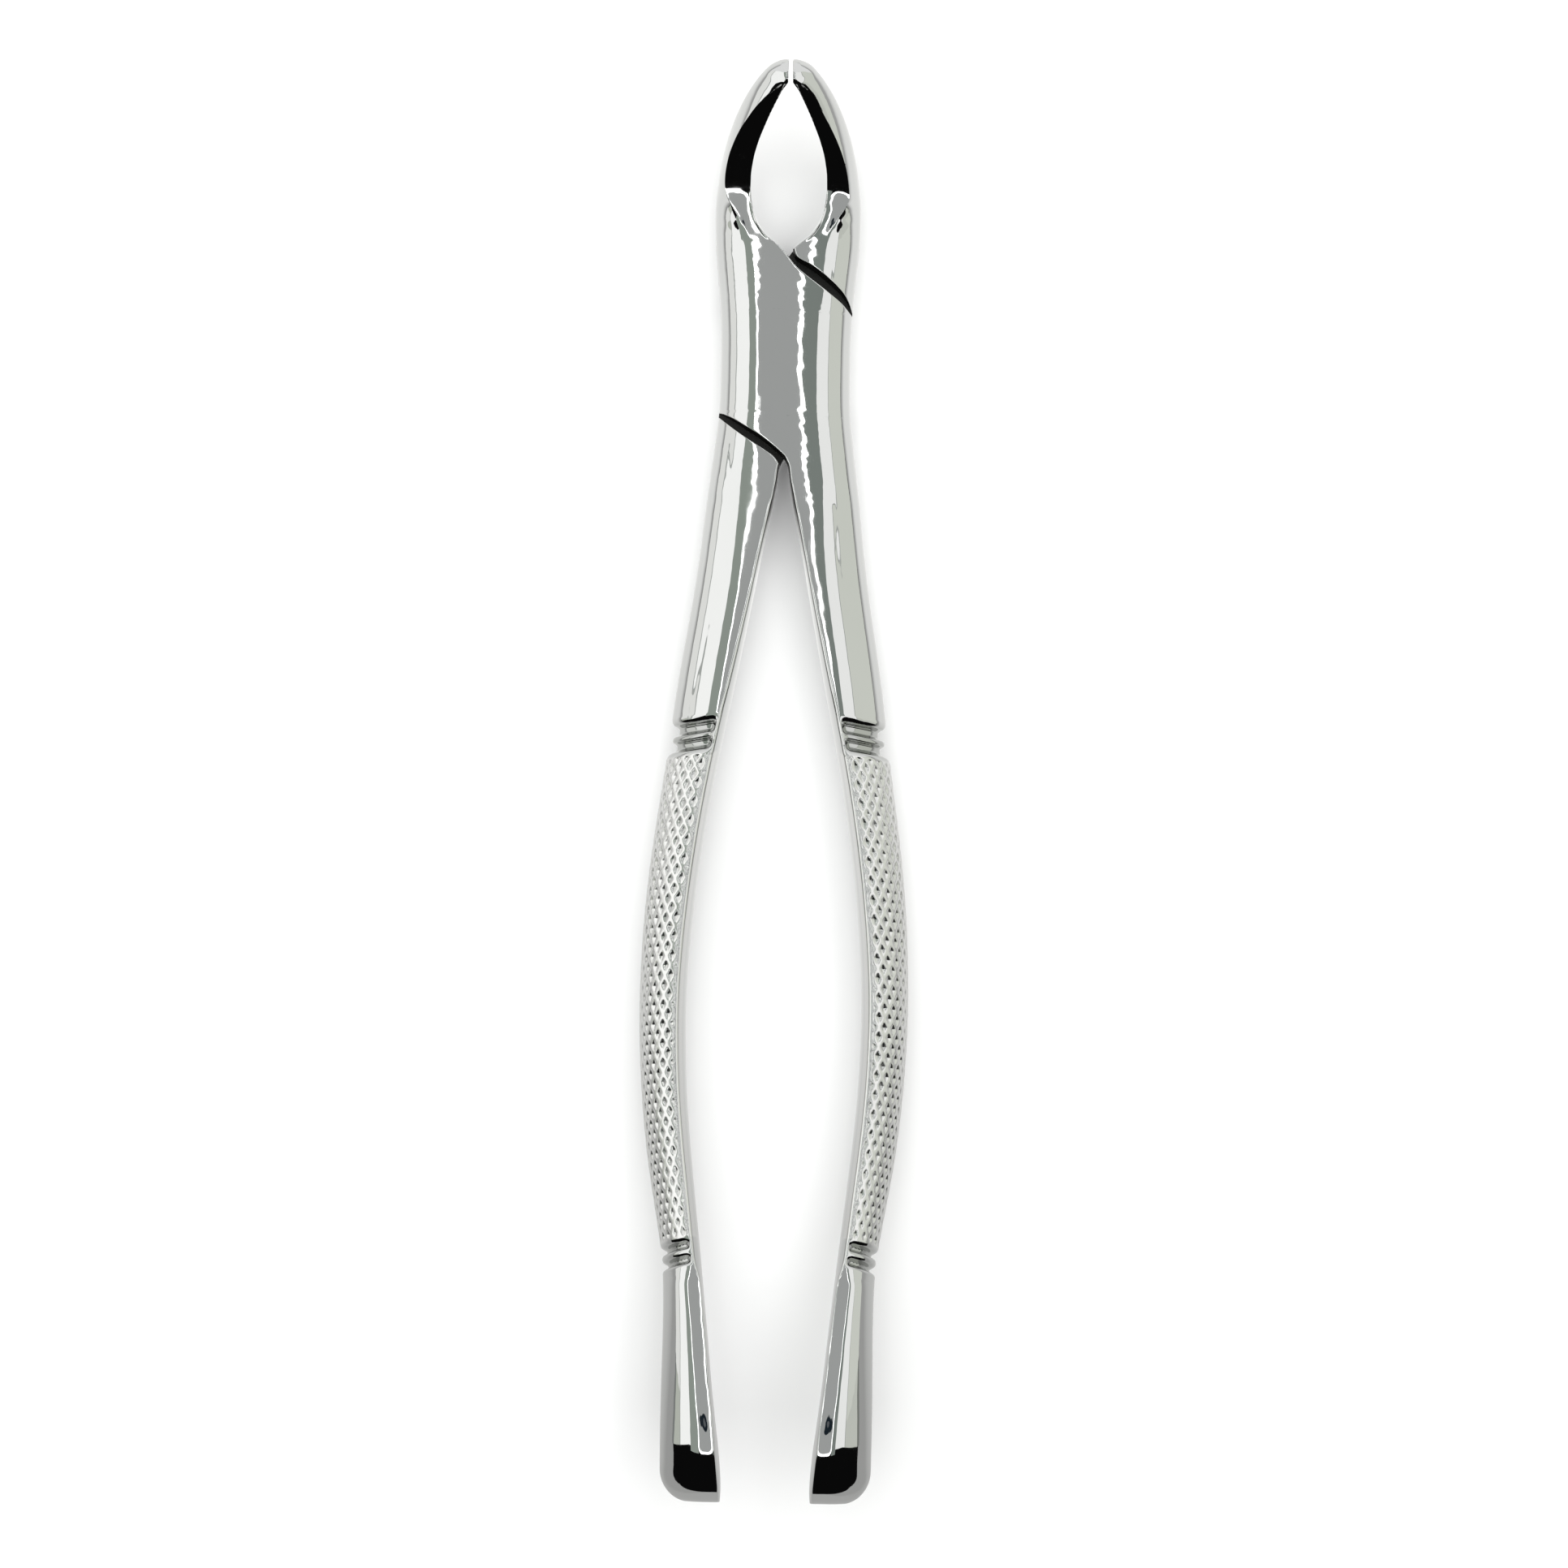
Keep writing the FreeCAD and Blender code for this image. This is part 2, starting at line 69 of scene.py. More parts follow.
HIN_Y = [-150, -140, -136, -130, -125, -120, -116, -112, -107, -100, -95, -90, -85, -80, -75, -70, -65, -60, -55, -50,
         -43, -40, -35, -30, -25, -20, -16, -13]
HIN_X = [4.55, 5.20, 5.50, 6.16, 6.78, 7.32, 7.78, 8.24, 8.84, 9.68, 10.22, 10.62, 10.84, 10.89, 10.71, 10.34, 9.83, 9.18, 8.41, 7.52,
         6.13, 5.53, 4.58, 3.63, 2.72, 1.77, 0.98, 0.45]
BIN_Y = [13.4, 14.2, 15, 16, 18, 20, 22, 24, 26, 28, 30, 31, 32, 33, 34, 34.6]
BIN_X = [0.28, 0.75, 1.70, 2.70, 3.95, 4.48, 4.65, 4.62, 4.35, 3.75, 2.82, 2.28, 1.68, 1.03, 0.50, 0.27]
DEP_S = [-150, -134, -128, -120, -112, -106, -100, -90, -80, -70, -60, -50, -46, -42, -36, -30, -22, 0, 10, 15, 18, 21, 24, 28, 32, 35, 37, 40]
DEP_H = [5.30, 5.30, 5.28, 5.08, 4.80, 4.85, 5.00, 5.22, 5.34, 5.27, 5.10, 4.80, 4.62, 4.50, 4.38, 4.31, 4.30, 4.30, 4.30, 4.28, 4.20, 4.00, 3.62, 3.05, 2.56, 2.22, 2.02, 1.80]
RND_Y = [-150, -136, -130, -120, -112, -107, -100, -90, -80, -70, -60, -50, -43, -30, -20, -13.4, 0, 13.4, 16, 18, 20, 21.3, 23.1, 25, 27.7, 29.5, 31.1, 32, 32.6, 33.3, 34.2]
RIDGE_Y = [16, 18, 19.5, 21.4, 23.3, 25.2, 26.6, 28.0, 29.3, 30.5, 31.5, 32.4, 33.0, 33.8, 34.3]
RIDGE_FRONT = [4.00, 3.10, 2.20, 1.26, 0.64, 0.38, 0.31, 0.36, 0.50, 0.77, 1.00, 1.33, 1.60, 1.90, 2.20]
RIDGE_BACK = [4.00, 3.10, 2.10, 1.35, 1.15, 1.07, 1.12, 1.23, 1.36, 1.49, 1.53, 1.55, 1.52, 1.62, 1.90]
RND_A = [5.60, 5.60, 5.30, 4.80, 4.30, 3.90, 4.30, 4.50, 4.65, 4.90, 5.05, 5.30, 5.70, 5.60, 5.05, 4.50, 4.40, 4.40, 4.00, 3.10, 1.95, 1.37, 0.95, 0.82, 1.00, 1.28, 1.73, 2.10, 2.45, 3.20, 4.00]
EDGE_UP = [(4.6, 9.60), (5.4, 8.75), (6.2, 7.90), (7.13, 7.02), (8.3, 5.48), (9.39, 4.02), (10.4, 2.66), (11.34, 1.52), (12.1, 0.82),
           (12.8, 0.27), (13.4, -0.20), (14.0, -0.66), (14.6, -1.20), (15.2, -1.80), (16.0, -2.62)]
EDGE_LOW = [(-18.0, 1.38), (-16.0, 1.00), (-14.8, 0.80), (-14.0, 0.71), (-13.2, 0.60), (-12.7, 0.42), (-11.9, 0.00), (-11.3, -0.62),
            (-10.4, -1.70), (-9.35, -3.13), (-8.4, -4.65), (-7.4, -6.22), (-6.45, -8.00), (-5.7, -9.60), (-5.0, -11.2)]
WALL_UP = [(0.60, 14.2), (0.96, 13.0), (2.97, 11.75), (5.00, 10.20), (7.00, 8.30), (7.95, 6.75), (8.80, 4.90)]
WALL_LOW = [(-0.50, -14.2), (-0.36, -13.2), (-0.57, -12.7), (-1.08, -12.0), (-2.10, -11.24), (-3.60, -10.3), (-5.13, -9.3), (-6.65, -8.15), (-8.00, -7.05), (-9.60, -5.60)]

# the turned grooves at the two ends of each knurled grip: stretch of the spine, depth
RING_S = [-112.9, -112.65, -112.45, -112.2, -111.95, -111.75, -111.5, -111.2, -110.9, -110.68, -110.45, -110.15, -109.95, -109.7, -109.3,
          -49.3, -48.75, -48.4, -48.15, -47.85, -47.45, -47.22, -47.0, -46.75, -46.45, -46.2, -45.95, -45.42, -45.15, -44.9, -44.5, -44.1]
RING_D = [0.0, 0.14, 0.45, 0.75, 0.75, 0.48, 0.14, 0.07, 0.14, 0.48, 0.76, 0.74, 0.45, 0.10, 0.0,
          0.0, 0.13, 0.46, 0.95, 1.10, 1.08, 0.88, 0.52, 0.45, 0.52, 0.92, 1.15, 1.12, 0.85, 0.38, 0.10, 0.0]
RING_TILT = math.tan(math.radians(8.7))
KNURL_TOP, KNURL_END = -49.05, -109.35


def spline(xs, ys):
    n = len(xs)
    h = [xs[i + 1] - xs[i] for i in range(n - 1)]
    a, b, c, d = [0.0] * n, [1.0] * n, [0.0] * n, [0.0] * n
    for i in range(1, n - 1):
        a[i], b[i], c[i] = h[i - 1], 2 * (h[i - 1] + h[i]), h[i]
        d[i] = 6 * ((ys[i + 1] - ys[i]) / h[i] - (ys[i] - ys[i - 1]) / h[i - 1])
    for i in range(1, n):
        m = a[i] / b[i - 1]
        b[i] -= m * c[i - 1]
        d[i] -= m * d[i - 1]
    k = [0.0] * n
    for i in range(n - 2, 0, -1):
        k[i] = (d[i] - c[i] * k[i + 1]) / b[i]

    def f(x):
        i = 0
        while i < n - 2 and x > xs[i + 1]:
            i += 1
        x = min(max(x, xs[0]), xs[-1])
        t, u = x - xs[i], xs[i + 1] - x
        return (k[i] * u ** 3 + k[i + 1] * t ** 3) / (6 * h[i]) + (ys[i] / h[i] - k[i] * h[i] / 6) * u \
            + (ys[i + 1] / h[i] - k[i + 1] * h[i] / 6) * t
    return f


def monotone(xs, ys):
    n = len(xs)
    h = [xs[i + 1] - xs[i] for i in range(n - 1)]
    dl = [(ys[i + 1] - ys[i]) / h[i] for i in range(n - 1)]
    m = [dl[0]] + [0.0] * (n - 2) + [dl[-1]]
    for i in range(1, n - 1):
        if dl[i - 1] * dl[i] > 0:
            w1, w2 = 2 * h[i] + h[i - 1], h[i] + 2 * h[i - 1]
            m[i] = (w1 + w2) / (w1 / dl[i - 1] + w2 / dl[i])

    def f(x):
        if x <= xs[0]:
            return ys[0]
        if x >= xs[-1]:
            return ys[-1]
        i = 0
        while x > xs[i + 1]:
            i += 1
        t = (x - xs[i]) / h[i]
        return ys[i] * (1 + 2 * t) * (1 - t) ** 2 + h[i] * m[i] * t * (1 - t) ** 2 \
            + ys[i + 1] * t * t * (3 - 2 * t) - h[i] * m[i + 1] * t * t * (1 - t)
    return f


tilt_deg = monotone(TILT_S, TILT_D)
half_out = spline(OUT_Y, OUT_X)
handle_in = spline(HIN_Y, HIN_X)
beak_in = monotone(BIN_Y, BIN_X)
half_depth = monotone(DEP_S, DEP_H)
round_a = monotone(RND_Y, RND_A)
ridge_front, ridge_back = monotone(RIDGE_Y, RIDGE_FRONT), monotone(RIDGE_Y, RIDGE_BACK)
edge_up = monotone([p[0] for p in EDGE_UP], [p[1] for p in EDGE_UP])
edge_low = monotone([p[0] for p in EDGE_LOW], [p[1] for p in EDGE_LOW])
wall_up = monotone([p[1] for p in WALL_UP[::-1]], [-p[0] for p in WALL_UP[::-1]])      # seen from the other arm
wall_low = monotone([p[1] for p in WALL_LOW], [-p[0] for p in WALL_LOW])
ring_depth = monotone(RING_S, RING_D)


def spine_table():
    step = 0.05
    up, down = [(0.0, 0.0, MID_Z)], []
    s, y, z = up[0]
    while s < 42:
        t = math.radians(tilt_deg(s + step / 2))
        s, y, z = s + step, y + math.cos(t) * step, z + math.sin(t) * step
        up.append((s, y, z))
    s, y, z = up[0]
    while s > -145:
        t = math.radians(tilt_deg(s - step / 2))
        s, y, z = s - step, y - math.cos(t) * step, z - math.sin(t) * step
        down.append((s, y, z))
    return np.array(down[::-1] + up)


SPINE = spine_table()


def spine(s):
    return float(np.interp(s, SPINE[:, 0], SPINE[:, 1])), float(np.interp(s, SPINE[:, 0], SPINE[:, 2]))


def corner(c, p, n=14):
    ph = sorted([math.pi / 2 * i / n for i in range(n + 1)] + [math.asin(min(1.0, (i / n) ** (p / 2.0))) for i in range(1, n)])
    return [(c * (1 - math.cos(f) ** (2 / p)), math.sin(f) ** (2 / p)) for f in ph]


def wall_factor(d, c, p):
    if d >= c:
        return 1.0
    return (1 - (1 - max(0.0, d) / c) ** p) ** (1 / p)


def side_factor(d, a, n=2.0):
    if d >= a:
        return 1.0
    return max(0.0, 1 - (1 - max(0.0, d) / a) ** n) ** (1 / n)


def smooth(a, b, x):
    t = min(1.0, max(0.0, (x - a) / (b - a)))
    return t * t * (3 - 2 * t)


NF, NM = 96, 8          # columns over the front, over the back, and along the plane between the leaves


def resample(pts, n, turn=0.9, kinks=()):
    """n + 1 points along the same line, closer together where it bends; a point lands on each kink."""
    p = np.array(pts, float)
    d = np.hypot(*(p[1:] - p[:-1]).T)
    keep = np.concatenate([[True], d > 1e-7])
    index = np.cumsum(keep) - 1
    p = p[keep]
    if len(p) < 2:
        return np.repeat(p[:1], n + 1, 0)
    seg = p[1:] - p[:-1]
    d = np.hypot(seg[:, 0], seg[:, 1])
    ang = np.unwrap(np.arctan2(seg[:, 1], seg[:, 0]))
    t = np.zeros(len(d))
    dt = np.abs(np.diff(ang))
    t[1:] += dt / 2
    t[:-1] += dt / 2
    m = np.concatenate([[0.0], np.cumsum(d + turn * t)])
    want = np.linspace(0, m[-1], n + 1)
    out = np.stack([np.interp(want, m, p[:, 0]), np.interp(want, m, p[:, 1])], 1)
    for k in kinks:
        k = index[k]
        out[int(np.argmin(np.abs(want - m[k])))] = p[k]
    return out


EYE_Y, EYE_Z = -52.35, 450.04          # where the gap between the beaks is looked at from, for its sharp edge


def sight(x, y, z):
    k = EYE_Z / (EYE_Z - z)
    return x * k, (y - EYE_Y) * k


def plan_table():
    """The beaks' inner edge against the line of sight, from the upper edge of each section."""
    rows = []
    for i in range(0, 240):
        s = 13.0 + 26.4 * i / 239
        y, z = spine(s)
        t = math.radians(tilt_deg(s))
        h = half_depth(s)
        rows.append(sight(beak_in(y), y - h * math.sin(t), z + h * math.cos(t))[::-1])
    rows.sort()
    return np.array(rows)


PLAN = plan_table()
GAP_FROM, GAP_HALF = sight(0, 31.2, 21.0)[1], 0.22


def inner_edge(y, z):
    """Half width of the opening between the beaks at a point's own place."""
    k = EYE_Z / (EYE_Z - z)
    v = (y - EYE_Y) * k
    x = float(np.interp(v, PLAN[:, 0], PLAN[:, 1]))
    x *= 1 - smooth(GAP_FROM - 0.6, GAP_FROM + 1.6, v)
    return max(GAP_HALF, x / k)


def beak_curve(s, y, back, front_arm):
    """Front half of a beak's section, beak on the left: outer rounding, ridge, hollow-ground facet, inner face."""
    h = half_depth(s)
    out, inn, a = half_out(min(y, 34.8)), beak_in(y), round_a(y)
    if y > 16.5:
        k = smooth(16.5, 19.5, y)
        a = a * (1 - k) + (ridge_front if front_arm else ridge_back)(y) * k
    if s > TIP_FROM:
        q = min(1.0, (s - TIP_FROM) / (S_TIP - TIP_FROM))
        out = inn + (out - inn) * math.sqrt(max(0.0, 1 - 0.75 * q * q))
        h *= math.sqrt(max(0.0, 1 - 0.93 * q * q))
    fine = smooth(14.6, 19.0, y)
    c = min(0.45 - 0.37 * fine, 0.3 * (out - inn))
    ridge = math.radians(90 - 32 * smooth(17.5, 20.8, y))
    if back:
        a = max(a, 0.62 * (out - inn) * fine)
        ridge = math.pi / 2
    a = min(a, out - inn - c - 0.02)
    hollow = 0.75 * min(1.0, max(0.0, (y - 16) / 5.0)) * min(1.0, max(0.0, (34 - y) / 5.0))
    n, m = 30, 12
    pts = [(-out + a * (1 - math.cos(ridge * i / n)) / (1 - math.cos(ridge)), h * math.sin(ridge * i / n) / math.sin(ridge)) for i in range(n + 1)]
    dip = 0.0 if back else 0.05 * fine * min(1.0, (out - a - inn) / 2.5)
    for i in range(1, m):
        f = i / m
        pts.append((-out + a + (out - a - inn - c) * f, h - dip * 4 * f * (1 - f)))
    if not back:
        at, crown = crown_line(y, front_arm)
        crown *= 1 - smooth(14, 21, y)
        pts = [(x, w - crown * min(1.6, ((x - at) / 3.9) ** 2) * min(1.0, w / h * 1.2)) for x, w in pts]
    t = math.radians(tilt_deg(s))
    zs = spine(s)[1]
    k = smooth(16, 20, y)
    for d, w in corner(c, 4.5)[::-1]:
        q = h * w * (-1.0 if back else 1.0)
        x = inn * (1 - k) + inner_edge(y - q * math.sin(t), zs + q * math.cos(t)) * k
        pts.append((-x - d - hollow * (1 - w * w) - (0.03 * k if w < 0.98 else 0), h * w))
    return resample(pts, NF, 0.9, [n])


def handle_curve(s, y, back, steep_arm=False):
    """Front half of a shank's or handle's section, on the right: inner face, flat, outer rounding."""
    h = half_depth(s)
    out, inn, a = half_out(y), handle_in(y), round_a(y)
    f = min(1.0, (-y - 13.4) / 30.0)
    low = smooth(-110.5, -114.5, y)
    c, p = 0.45 + 0.65 * f - 0.75 * low, 5.0 - 2.9 * f
    reach = END_R - 0.22
    dome = S_END + END_R
    if s < dome:
        q = min(1.0, (dome - s) / reach)
        h *= math.sqrt(max(0.0, 1 - q * q))
    corner_s = S_END + END_CORNER
    if s < corner_s:
        q = min(1.0, (corner_s - s) / (END_CORNER - 0.16))
        out -= END_CORNER * 0.9 * (1 - math.sqrt(max(0.0, 1 - q * q)))
        inn += 0.25 * q * q * q
        c = min(c, 0.24 * (out - inn))
    a = min(a, out - inn - c - 0.02)
    n, m = 30, 10
    apex = inn + min(1.45, 0.3 * (out - inn))
    x0, x1 = inn + c, (out - a) * (1 - low) + (apex + 0.35) * low
    e, k = (out - x1) / 4.666, h / 6.034
    pts = [(inn + d, h * w) for d, w in corner(c, p)]
    pts += [(x0 + (x1 - x0) * i / m, h) for i in range(1, m)]
    pts = [(x, w * (1 - low * (x - apex) ** 2 / 140.0)) for x, w in pts]
    for i in range(n + 1):
        th = math.pi / 2 * i / n
        q = (out - (out - x1) * (1 - math.sin(th)), h * math.cos(th))
        if th < math.pi / 4:
            g = (x1 + 3.7 * e * math.sin(th), h - 3.7 * k * (1 - math.cos(th)))
        else:
            g = (x1 + e * (2.616 + 7 * (math.sin(th) - 0.7071)), h - k * (1.084 + 7 * (0.7071 - math.cos(th))))
        g = (g[0], g[1] if i < n else 0.0)
        pts.append((q[0] * (1 - low) + g[0] * low, q[1] * (1 - low) + g[1] * low))
    crown = 0.16 * smooth(-13, -30, y) if back else 0.16
    crown *= 1 - smooth(-110, -116, y)
    xc, width = inn + 0.6, max(2.0, out - inn - 2.0)
    flat = 1.0
    if not back:
        k = 1 - smooth(-44, -50, y)
        at = inn + 0.6 - 0.76 * smooth(-18, -24, y) if steep_arm else inn + 0.7
        bend = 0.030 if steep_arm else 0.036
        drop = lambda x: min(0.30, bend * (x - at) ** 2 / 2) * k
        pts = [(x, w - drop(x) * min(1.0, w / h * 1.2) * (0.35 if x < at else 1.0)) for x, w in pts]
        flat = 1 - k
    crown *= flat
    pts = [(x, w * (1 - crown / max(h, 1.0) * min(1.2, ((x - xc) / width)) ** 2 * min(1.0, h / 3.0))) for x, w in pts]
    return resample(pts, NF, 0.9 if not (-114 < s < -44) else 0.15)


def crown_line(y, front_arm):
    """Where the joint's front face is highest, and how much it is crowned there, in the arm's own sense."""
    if front_arm:
        return float(np.interp(y, [-18, -11, -6, 0], [0.75, 0.05, -0.40, -0.70])), 0.15
    k = smooth(-4, -9, y)
    return -0.7 + 2.4 * k, 0.15 + 0.12 * k


def joint_profile(xs, y, h, xl, xr, c, p, crown):
    out, a = half_out(y), round_a(y)
    crown, at = crown
    return [h * side_factor(x + out, a) * side_factor(out - x, a) * wall_factor(x - xl, c, p) * wall_factor(xr - x, c, p)
            - crown * min(1.6, ((x - at) / 3.9) ** 2) * min(1.0, side_factor(x + out, a) * 1.2, side_factor(out - x, a) * 1.2)
            * min(1.0, wall_factor(x - xl, c, p), wall_factor(xr - x, c, p)) for x in xs]


def joint_layer(y, h, lo, hi, xl, xr, c, p, floor_lo, floor_hi, floor, crown):
    """One layer of the joint's section from lo to hi, never below the plane of the leaf where it has one."""
    out, a = half_out(y), round_a(y)
    xs = set([lo, hi] + [lo + (hi - lo) * i / 24 for i in range(25)])
    for i in range(25):
        d = a * (1 - math.cos(math.pi / 2 * i / 24))
        xs.update([-out + d, out - d])
    for d, w in corner(c, p):
        xs.update([xl + d, xr - d])
    xs = sorted(x for x in xs if lo <= x <= hi)
    keep = [xs[0]]
    for x in xs[1:]:
        if x - keep[-1] > 1e-5:
            keep.append(x)
    keep[-1] = xs[-1]
    ws = joint_profile(keep, y, h, xl, xr, c, p, crown)
    pts = []
    for x, w in zip(keep, ws):
        pts.append((x, max(w, floor) if floor_lo < x < floor_hi else max(w, 0.0)))
    return pts


def loop(s, front_arm):
    """The closed section at s, in the front arm's own sense: wide layer first, then the one cut by the other leaf."""
    y, z = spine(s)
    t = math.radians(tilt_deg(s))
    h = half_depth(s)
    dz = z - MID_Z
    gap = ((LEAF_GAP - dz) if front_arm else (LEAF_GAP + dz)) / math.cos(t)
    wide_back, cut_back = not front_arm, front_arm     # which layer is the back one
    one, two = np.zeros((1, 2)), np.zeros((1, 2))
    if y >= 16.0 or y <= -18.0:
        fn = beak_curve if y > 0 else handle_curve
        more = (front_arm,)
        F, B = fn(s, y, wide_back, *more), fn(s, y, cut_back, *more)
        F[0, 1] = F[-1, 1] = 0.0
        F[0, 0] = B[0, 0] = (F[0, 0] + B[0, 0]) / 2
        F[-1, 0] = B[-1, 0] = (F[-1, 0] + B[-1, 0]) / 2
        B = B[::-1] * [1, -1]
        B[0], B[-1] = F[-1], F[0]
        return F, np.repeat(F[-1:], NM + 1, 0), B, np.repeat(F[:1], NM + 1, 0)
    out = half_out(y)
    f = max(0.0, min(1.0, (-y - 13.4) / 30.0))
    c, p = 0.45 + 0.65 * f, 5.0 - 2.9 * f
    c *= 0.62 + 0.38 * max(smooth(14, 16, y), smooth(-14, -17, y))
    xl = edge_low(y) if y < 0 else -99.0
    xr = edge_up(y) if y > 0 else 99.0
    lo, hi = max(xl, -out), min(xr, out)
    at, crown = crown_line(y, front_arm)
    crown_f, crown_b = ((crown, at), (0.0, at)) if front_arm else ((0.0, at), (crown, at))
    if y > 0:
        wl = wall_up(y) if y < 14.2 else 99.0
        if y < WALL_UP[-1][1]:
            wl = -99.0
        b_lo, b_hi = -out, min(hi, wl)
        empty = b_hi <= -out + 1e-6
    else:
        wl = wall_low(y) if y > -14.2 else -99.0
        if y > WALL_LOW[-1][1]:
            wl = 99.0
        b_lo, b_hi = max(lo, wl), out
        empty = b_lo >= out - 1e-6
    big = 99.0
    if empty:
        x0 = -out + 2 * out * min(1.0, max(0.0, (Y_EMPTY[1] - y) / (Y_EMPTY[1] - Y_EMPTY[0])))
        x0 = min(max(x0, -out), out)
        P = joint_layer(y, h, lo, hi, xl, xr, c, p, -big, big, gap, crown_f)
        F = resample(P, NF)
        F[:, 1] = np.maximum(F[:, 1], gap)
        F[0], F[-1] = (lo, gap), (hi, gap)
        M1 = np.stack([np.linspace(hi, x0, NM + 1), np.full(NM + 1, gap)], 1)
        M2 = np.stack([np.linspace(x0, lo, NM + 1), np.full(NM + 1, gap)], 1)
        B = np.repeat(np.array([[x0, gap]]), NF + 1, 0)
        return F, M1, B, M2
    if y > 0:
        P = joint_layer(y, h, lo, hi, xl, xr, c, p, b_hi, big, gap, crown_f)
        cut = hi - b_hi > 1e-4
        end = (hi, gap) if cut else (hi, 0.0)
        P = P[:-1] + ([(hi, min(P[-2][1], 0.4) * 0.5 + end[1] * 0.5)] if P[-2][1] > end[1] + 0.05 and hi - P[-2][0] < 1e-3 else []) + [end]
        F = resample(P, NF)
        Q = joint_layer(y, h, b_lo, b_hi, -big, min(b_hi, xr), 0.28, 4.0, big, big, 0.0, crown_b)
        Q = [(x, -w) for x, w in Q]
        Q[-1] = (b_hi, gap if cut else 0.0)
        B = resample(Q, NF)[::-1]
        F[0] = B[-1] = (-out, 0.0)
        M1 = np.stack([np.linspace(hi, b_hi, NM + 1), np.full(NM + 1, end[1])], 1)
        M2 = np.repeat(F[:1], NM + 1, 0)
    else:
        P = joint_layer(y, h, lo, hi, xl, xr, c, p, -big, b_lo, gap, crown_f)
        cut = b_lo - lo > 1e-4
        end = (lo, gap) if cut else (lo, 0.0)
        P = [end] + P[1:]
        F = resample(P, NF)
        Q = joint_layer(y, h, b_lo, b_hi, max(b_lo, xl), big, 0.28, 4.0, big, big, 0.0, crown_b)
        Q = [(x, -w) for x, w in Q]
        Q[0] = (b_lo, gap if cut else 0.0)
        B = resample(Q, NF)[::-1]
        F[-1] = B[0] = (out, 0.0)
        M1 = np.repeat(F[-1:], NM + 1, 0)
        M2 = np.stack([np.linspace(b_lo, lo, NM + 1), np.full(NM + 1, end[1])], 1)
    # near its ends the joint runs smoothly into the beak's and the shank's own sections
    k = smooth(14.6, 16.0, y) if y > 0 else smooth(-16.4, -18.0, y)
    if k > 0:
        fn = beak_curve if y > 0 else handle_curve
        more = (front_arm,)
        F2, B2 = fn(s, y, wide_back, *more), fn(s, y, cut_back, *more)[::-1] * [1, -1]
        F, B = F * (1 - k) + F2 * k, B * (1 - k) + B2 * k
        F[0] = B[-1] = (F[0] + B[-1]) / 2
        F[-1] = B[0] = (F[-1] + B[0]) / 2
        M1, M2 = np.repeat(F[-1:], NM + 1, 0), np.repeat(F[:1], NM + 1, 0)
    return F, M1, B, M2


def crossing(fn, side, a, b):
    """Where fn(y) meets the outline, side = +1 or -1, by bisection."""
    g = lambda y: fn(y) - side * half_out(y)
    ga = g(a)
    for _ in range(60):
        m = (a + b) / 2
        if (g(m) > 0) == (ga > 0):
            a = m
        else:
            b = m
    return (a + b) / 2


Y_CORNER_UP = crossing(edge_up, 1, 4.7, 9.0)
Y_CORNER_LOW = crossing(edge_low, -1, -9.0, -5.1)
Y_WALL_UP = crossing(wall_up, -1, 4.95, 9.0)
Y_WALL_LOW = crossing(wall_low, 1, -9.0, -5.7)
Y_EMPTY = (Y_WALL_LOW, Y_WALL_UP)


def stations():
    ss = []

    def run(a, b, step):
        k = max(1, int(round(abs(b - a) / step)))
        ss.extend(a + (b - a) * i / k for i in range(k))
    ss.extend(36.4 + (S_TIP - 0.05 - 36.4) * math.sin(math.radians(85.0 * i / 16)) for i in range(16, 0, -1))
    run(36.4, 16.2, 0.22)
    run(16.2, 4.6, 0.13)
    run(4.6, -5.4, 0.4)
    run(-5.4, -18.2, 0.13)
    run(-18.2, -43.4, 0.4)
    run(-43.4, -49.6, 0.085)
    run(-49.6, -108.8, 0.145)
    run(-108.8, -113.4, 0.085)
    run(-113.4, S_END + END_R, 0.4)
    ss.extend(S_END + END_R - (END_R - 0.22) * math.sin(math.radians(88.0 * i / 30)) for i in range(31))
    for y in (Y_CORNER_UP, Y_CORNER_LOW, Y_WALL_UP, Y_WALL_LOW):
        ss.extend([y + 1e-4, y - 1e-4])
    return sorted(set(ss), reverse=True)


SHIFT_Y = (sum(v[1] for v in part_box("pivot_screw"))) / 2 * 1000     # the hinge axis in the row frame, mm
SHIFT_Z = -BACK_FLAT


def ripple(s, v, seed):
    """The faint waves that hand polishing leaves, about 1 at most."""
    w = np.zeros_like(s)
    for i, (a, b, c, g) in enumerate([(2.9, 1.3, 0.4, 1.0), (4.7, -0.9, 1.9, 0.8), (1.3, 2.2, 4.0, 1.1), (7.9, 1.7, 2.7, 0.45),
                                      (0.61, 0.5, 0.9, 1.2), (3.7, 3.1, 5.1, 0.5), (5.9, -2.6, 3.3, 0.4)]):
        w += g * np.sin(a * s + b * v + c + seed * (1.7 + i))
    return w / 4.0


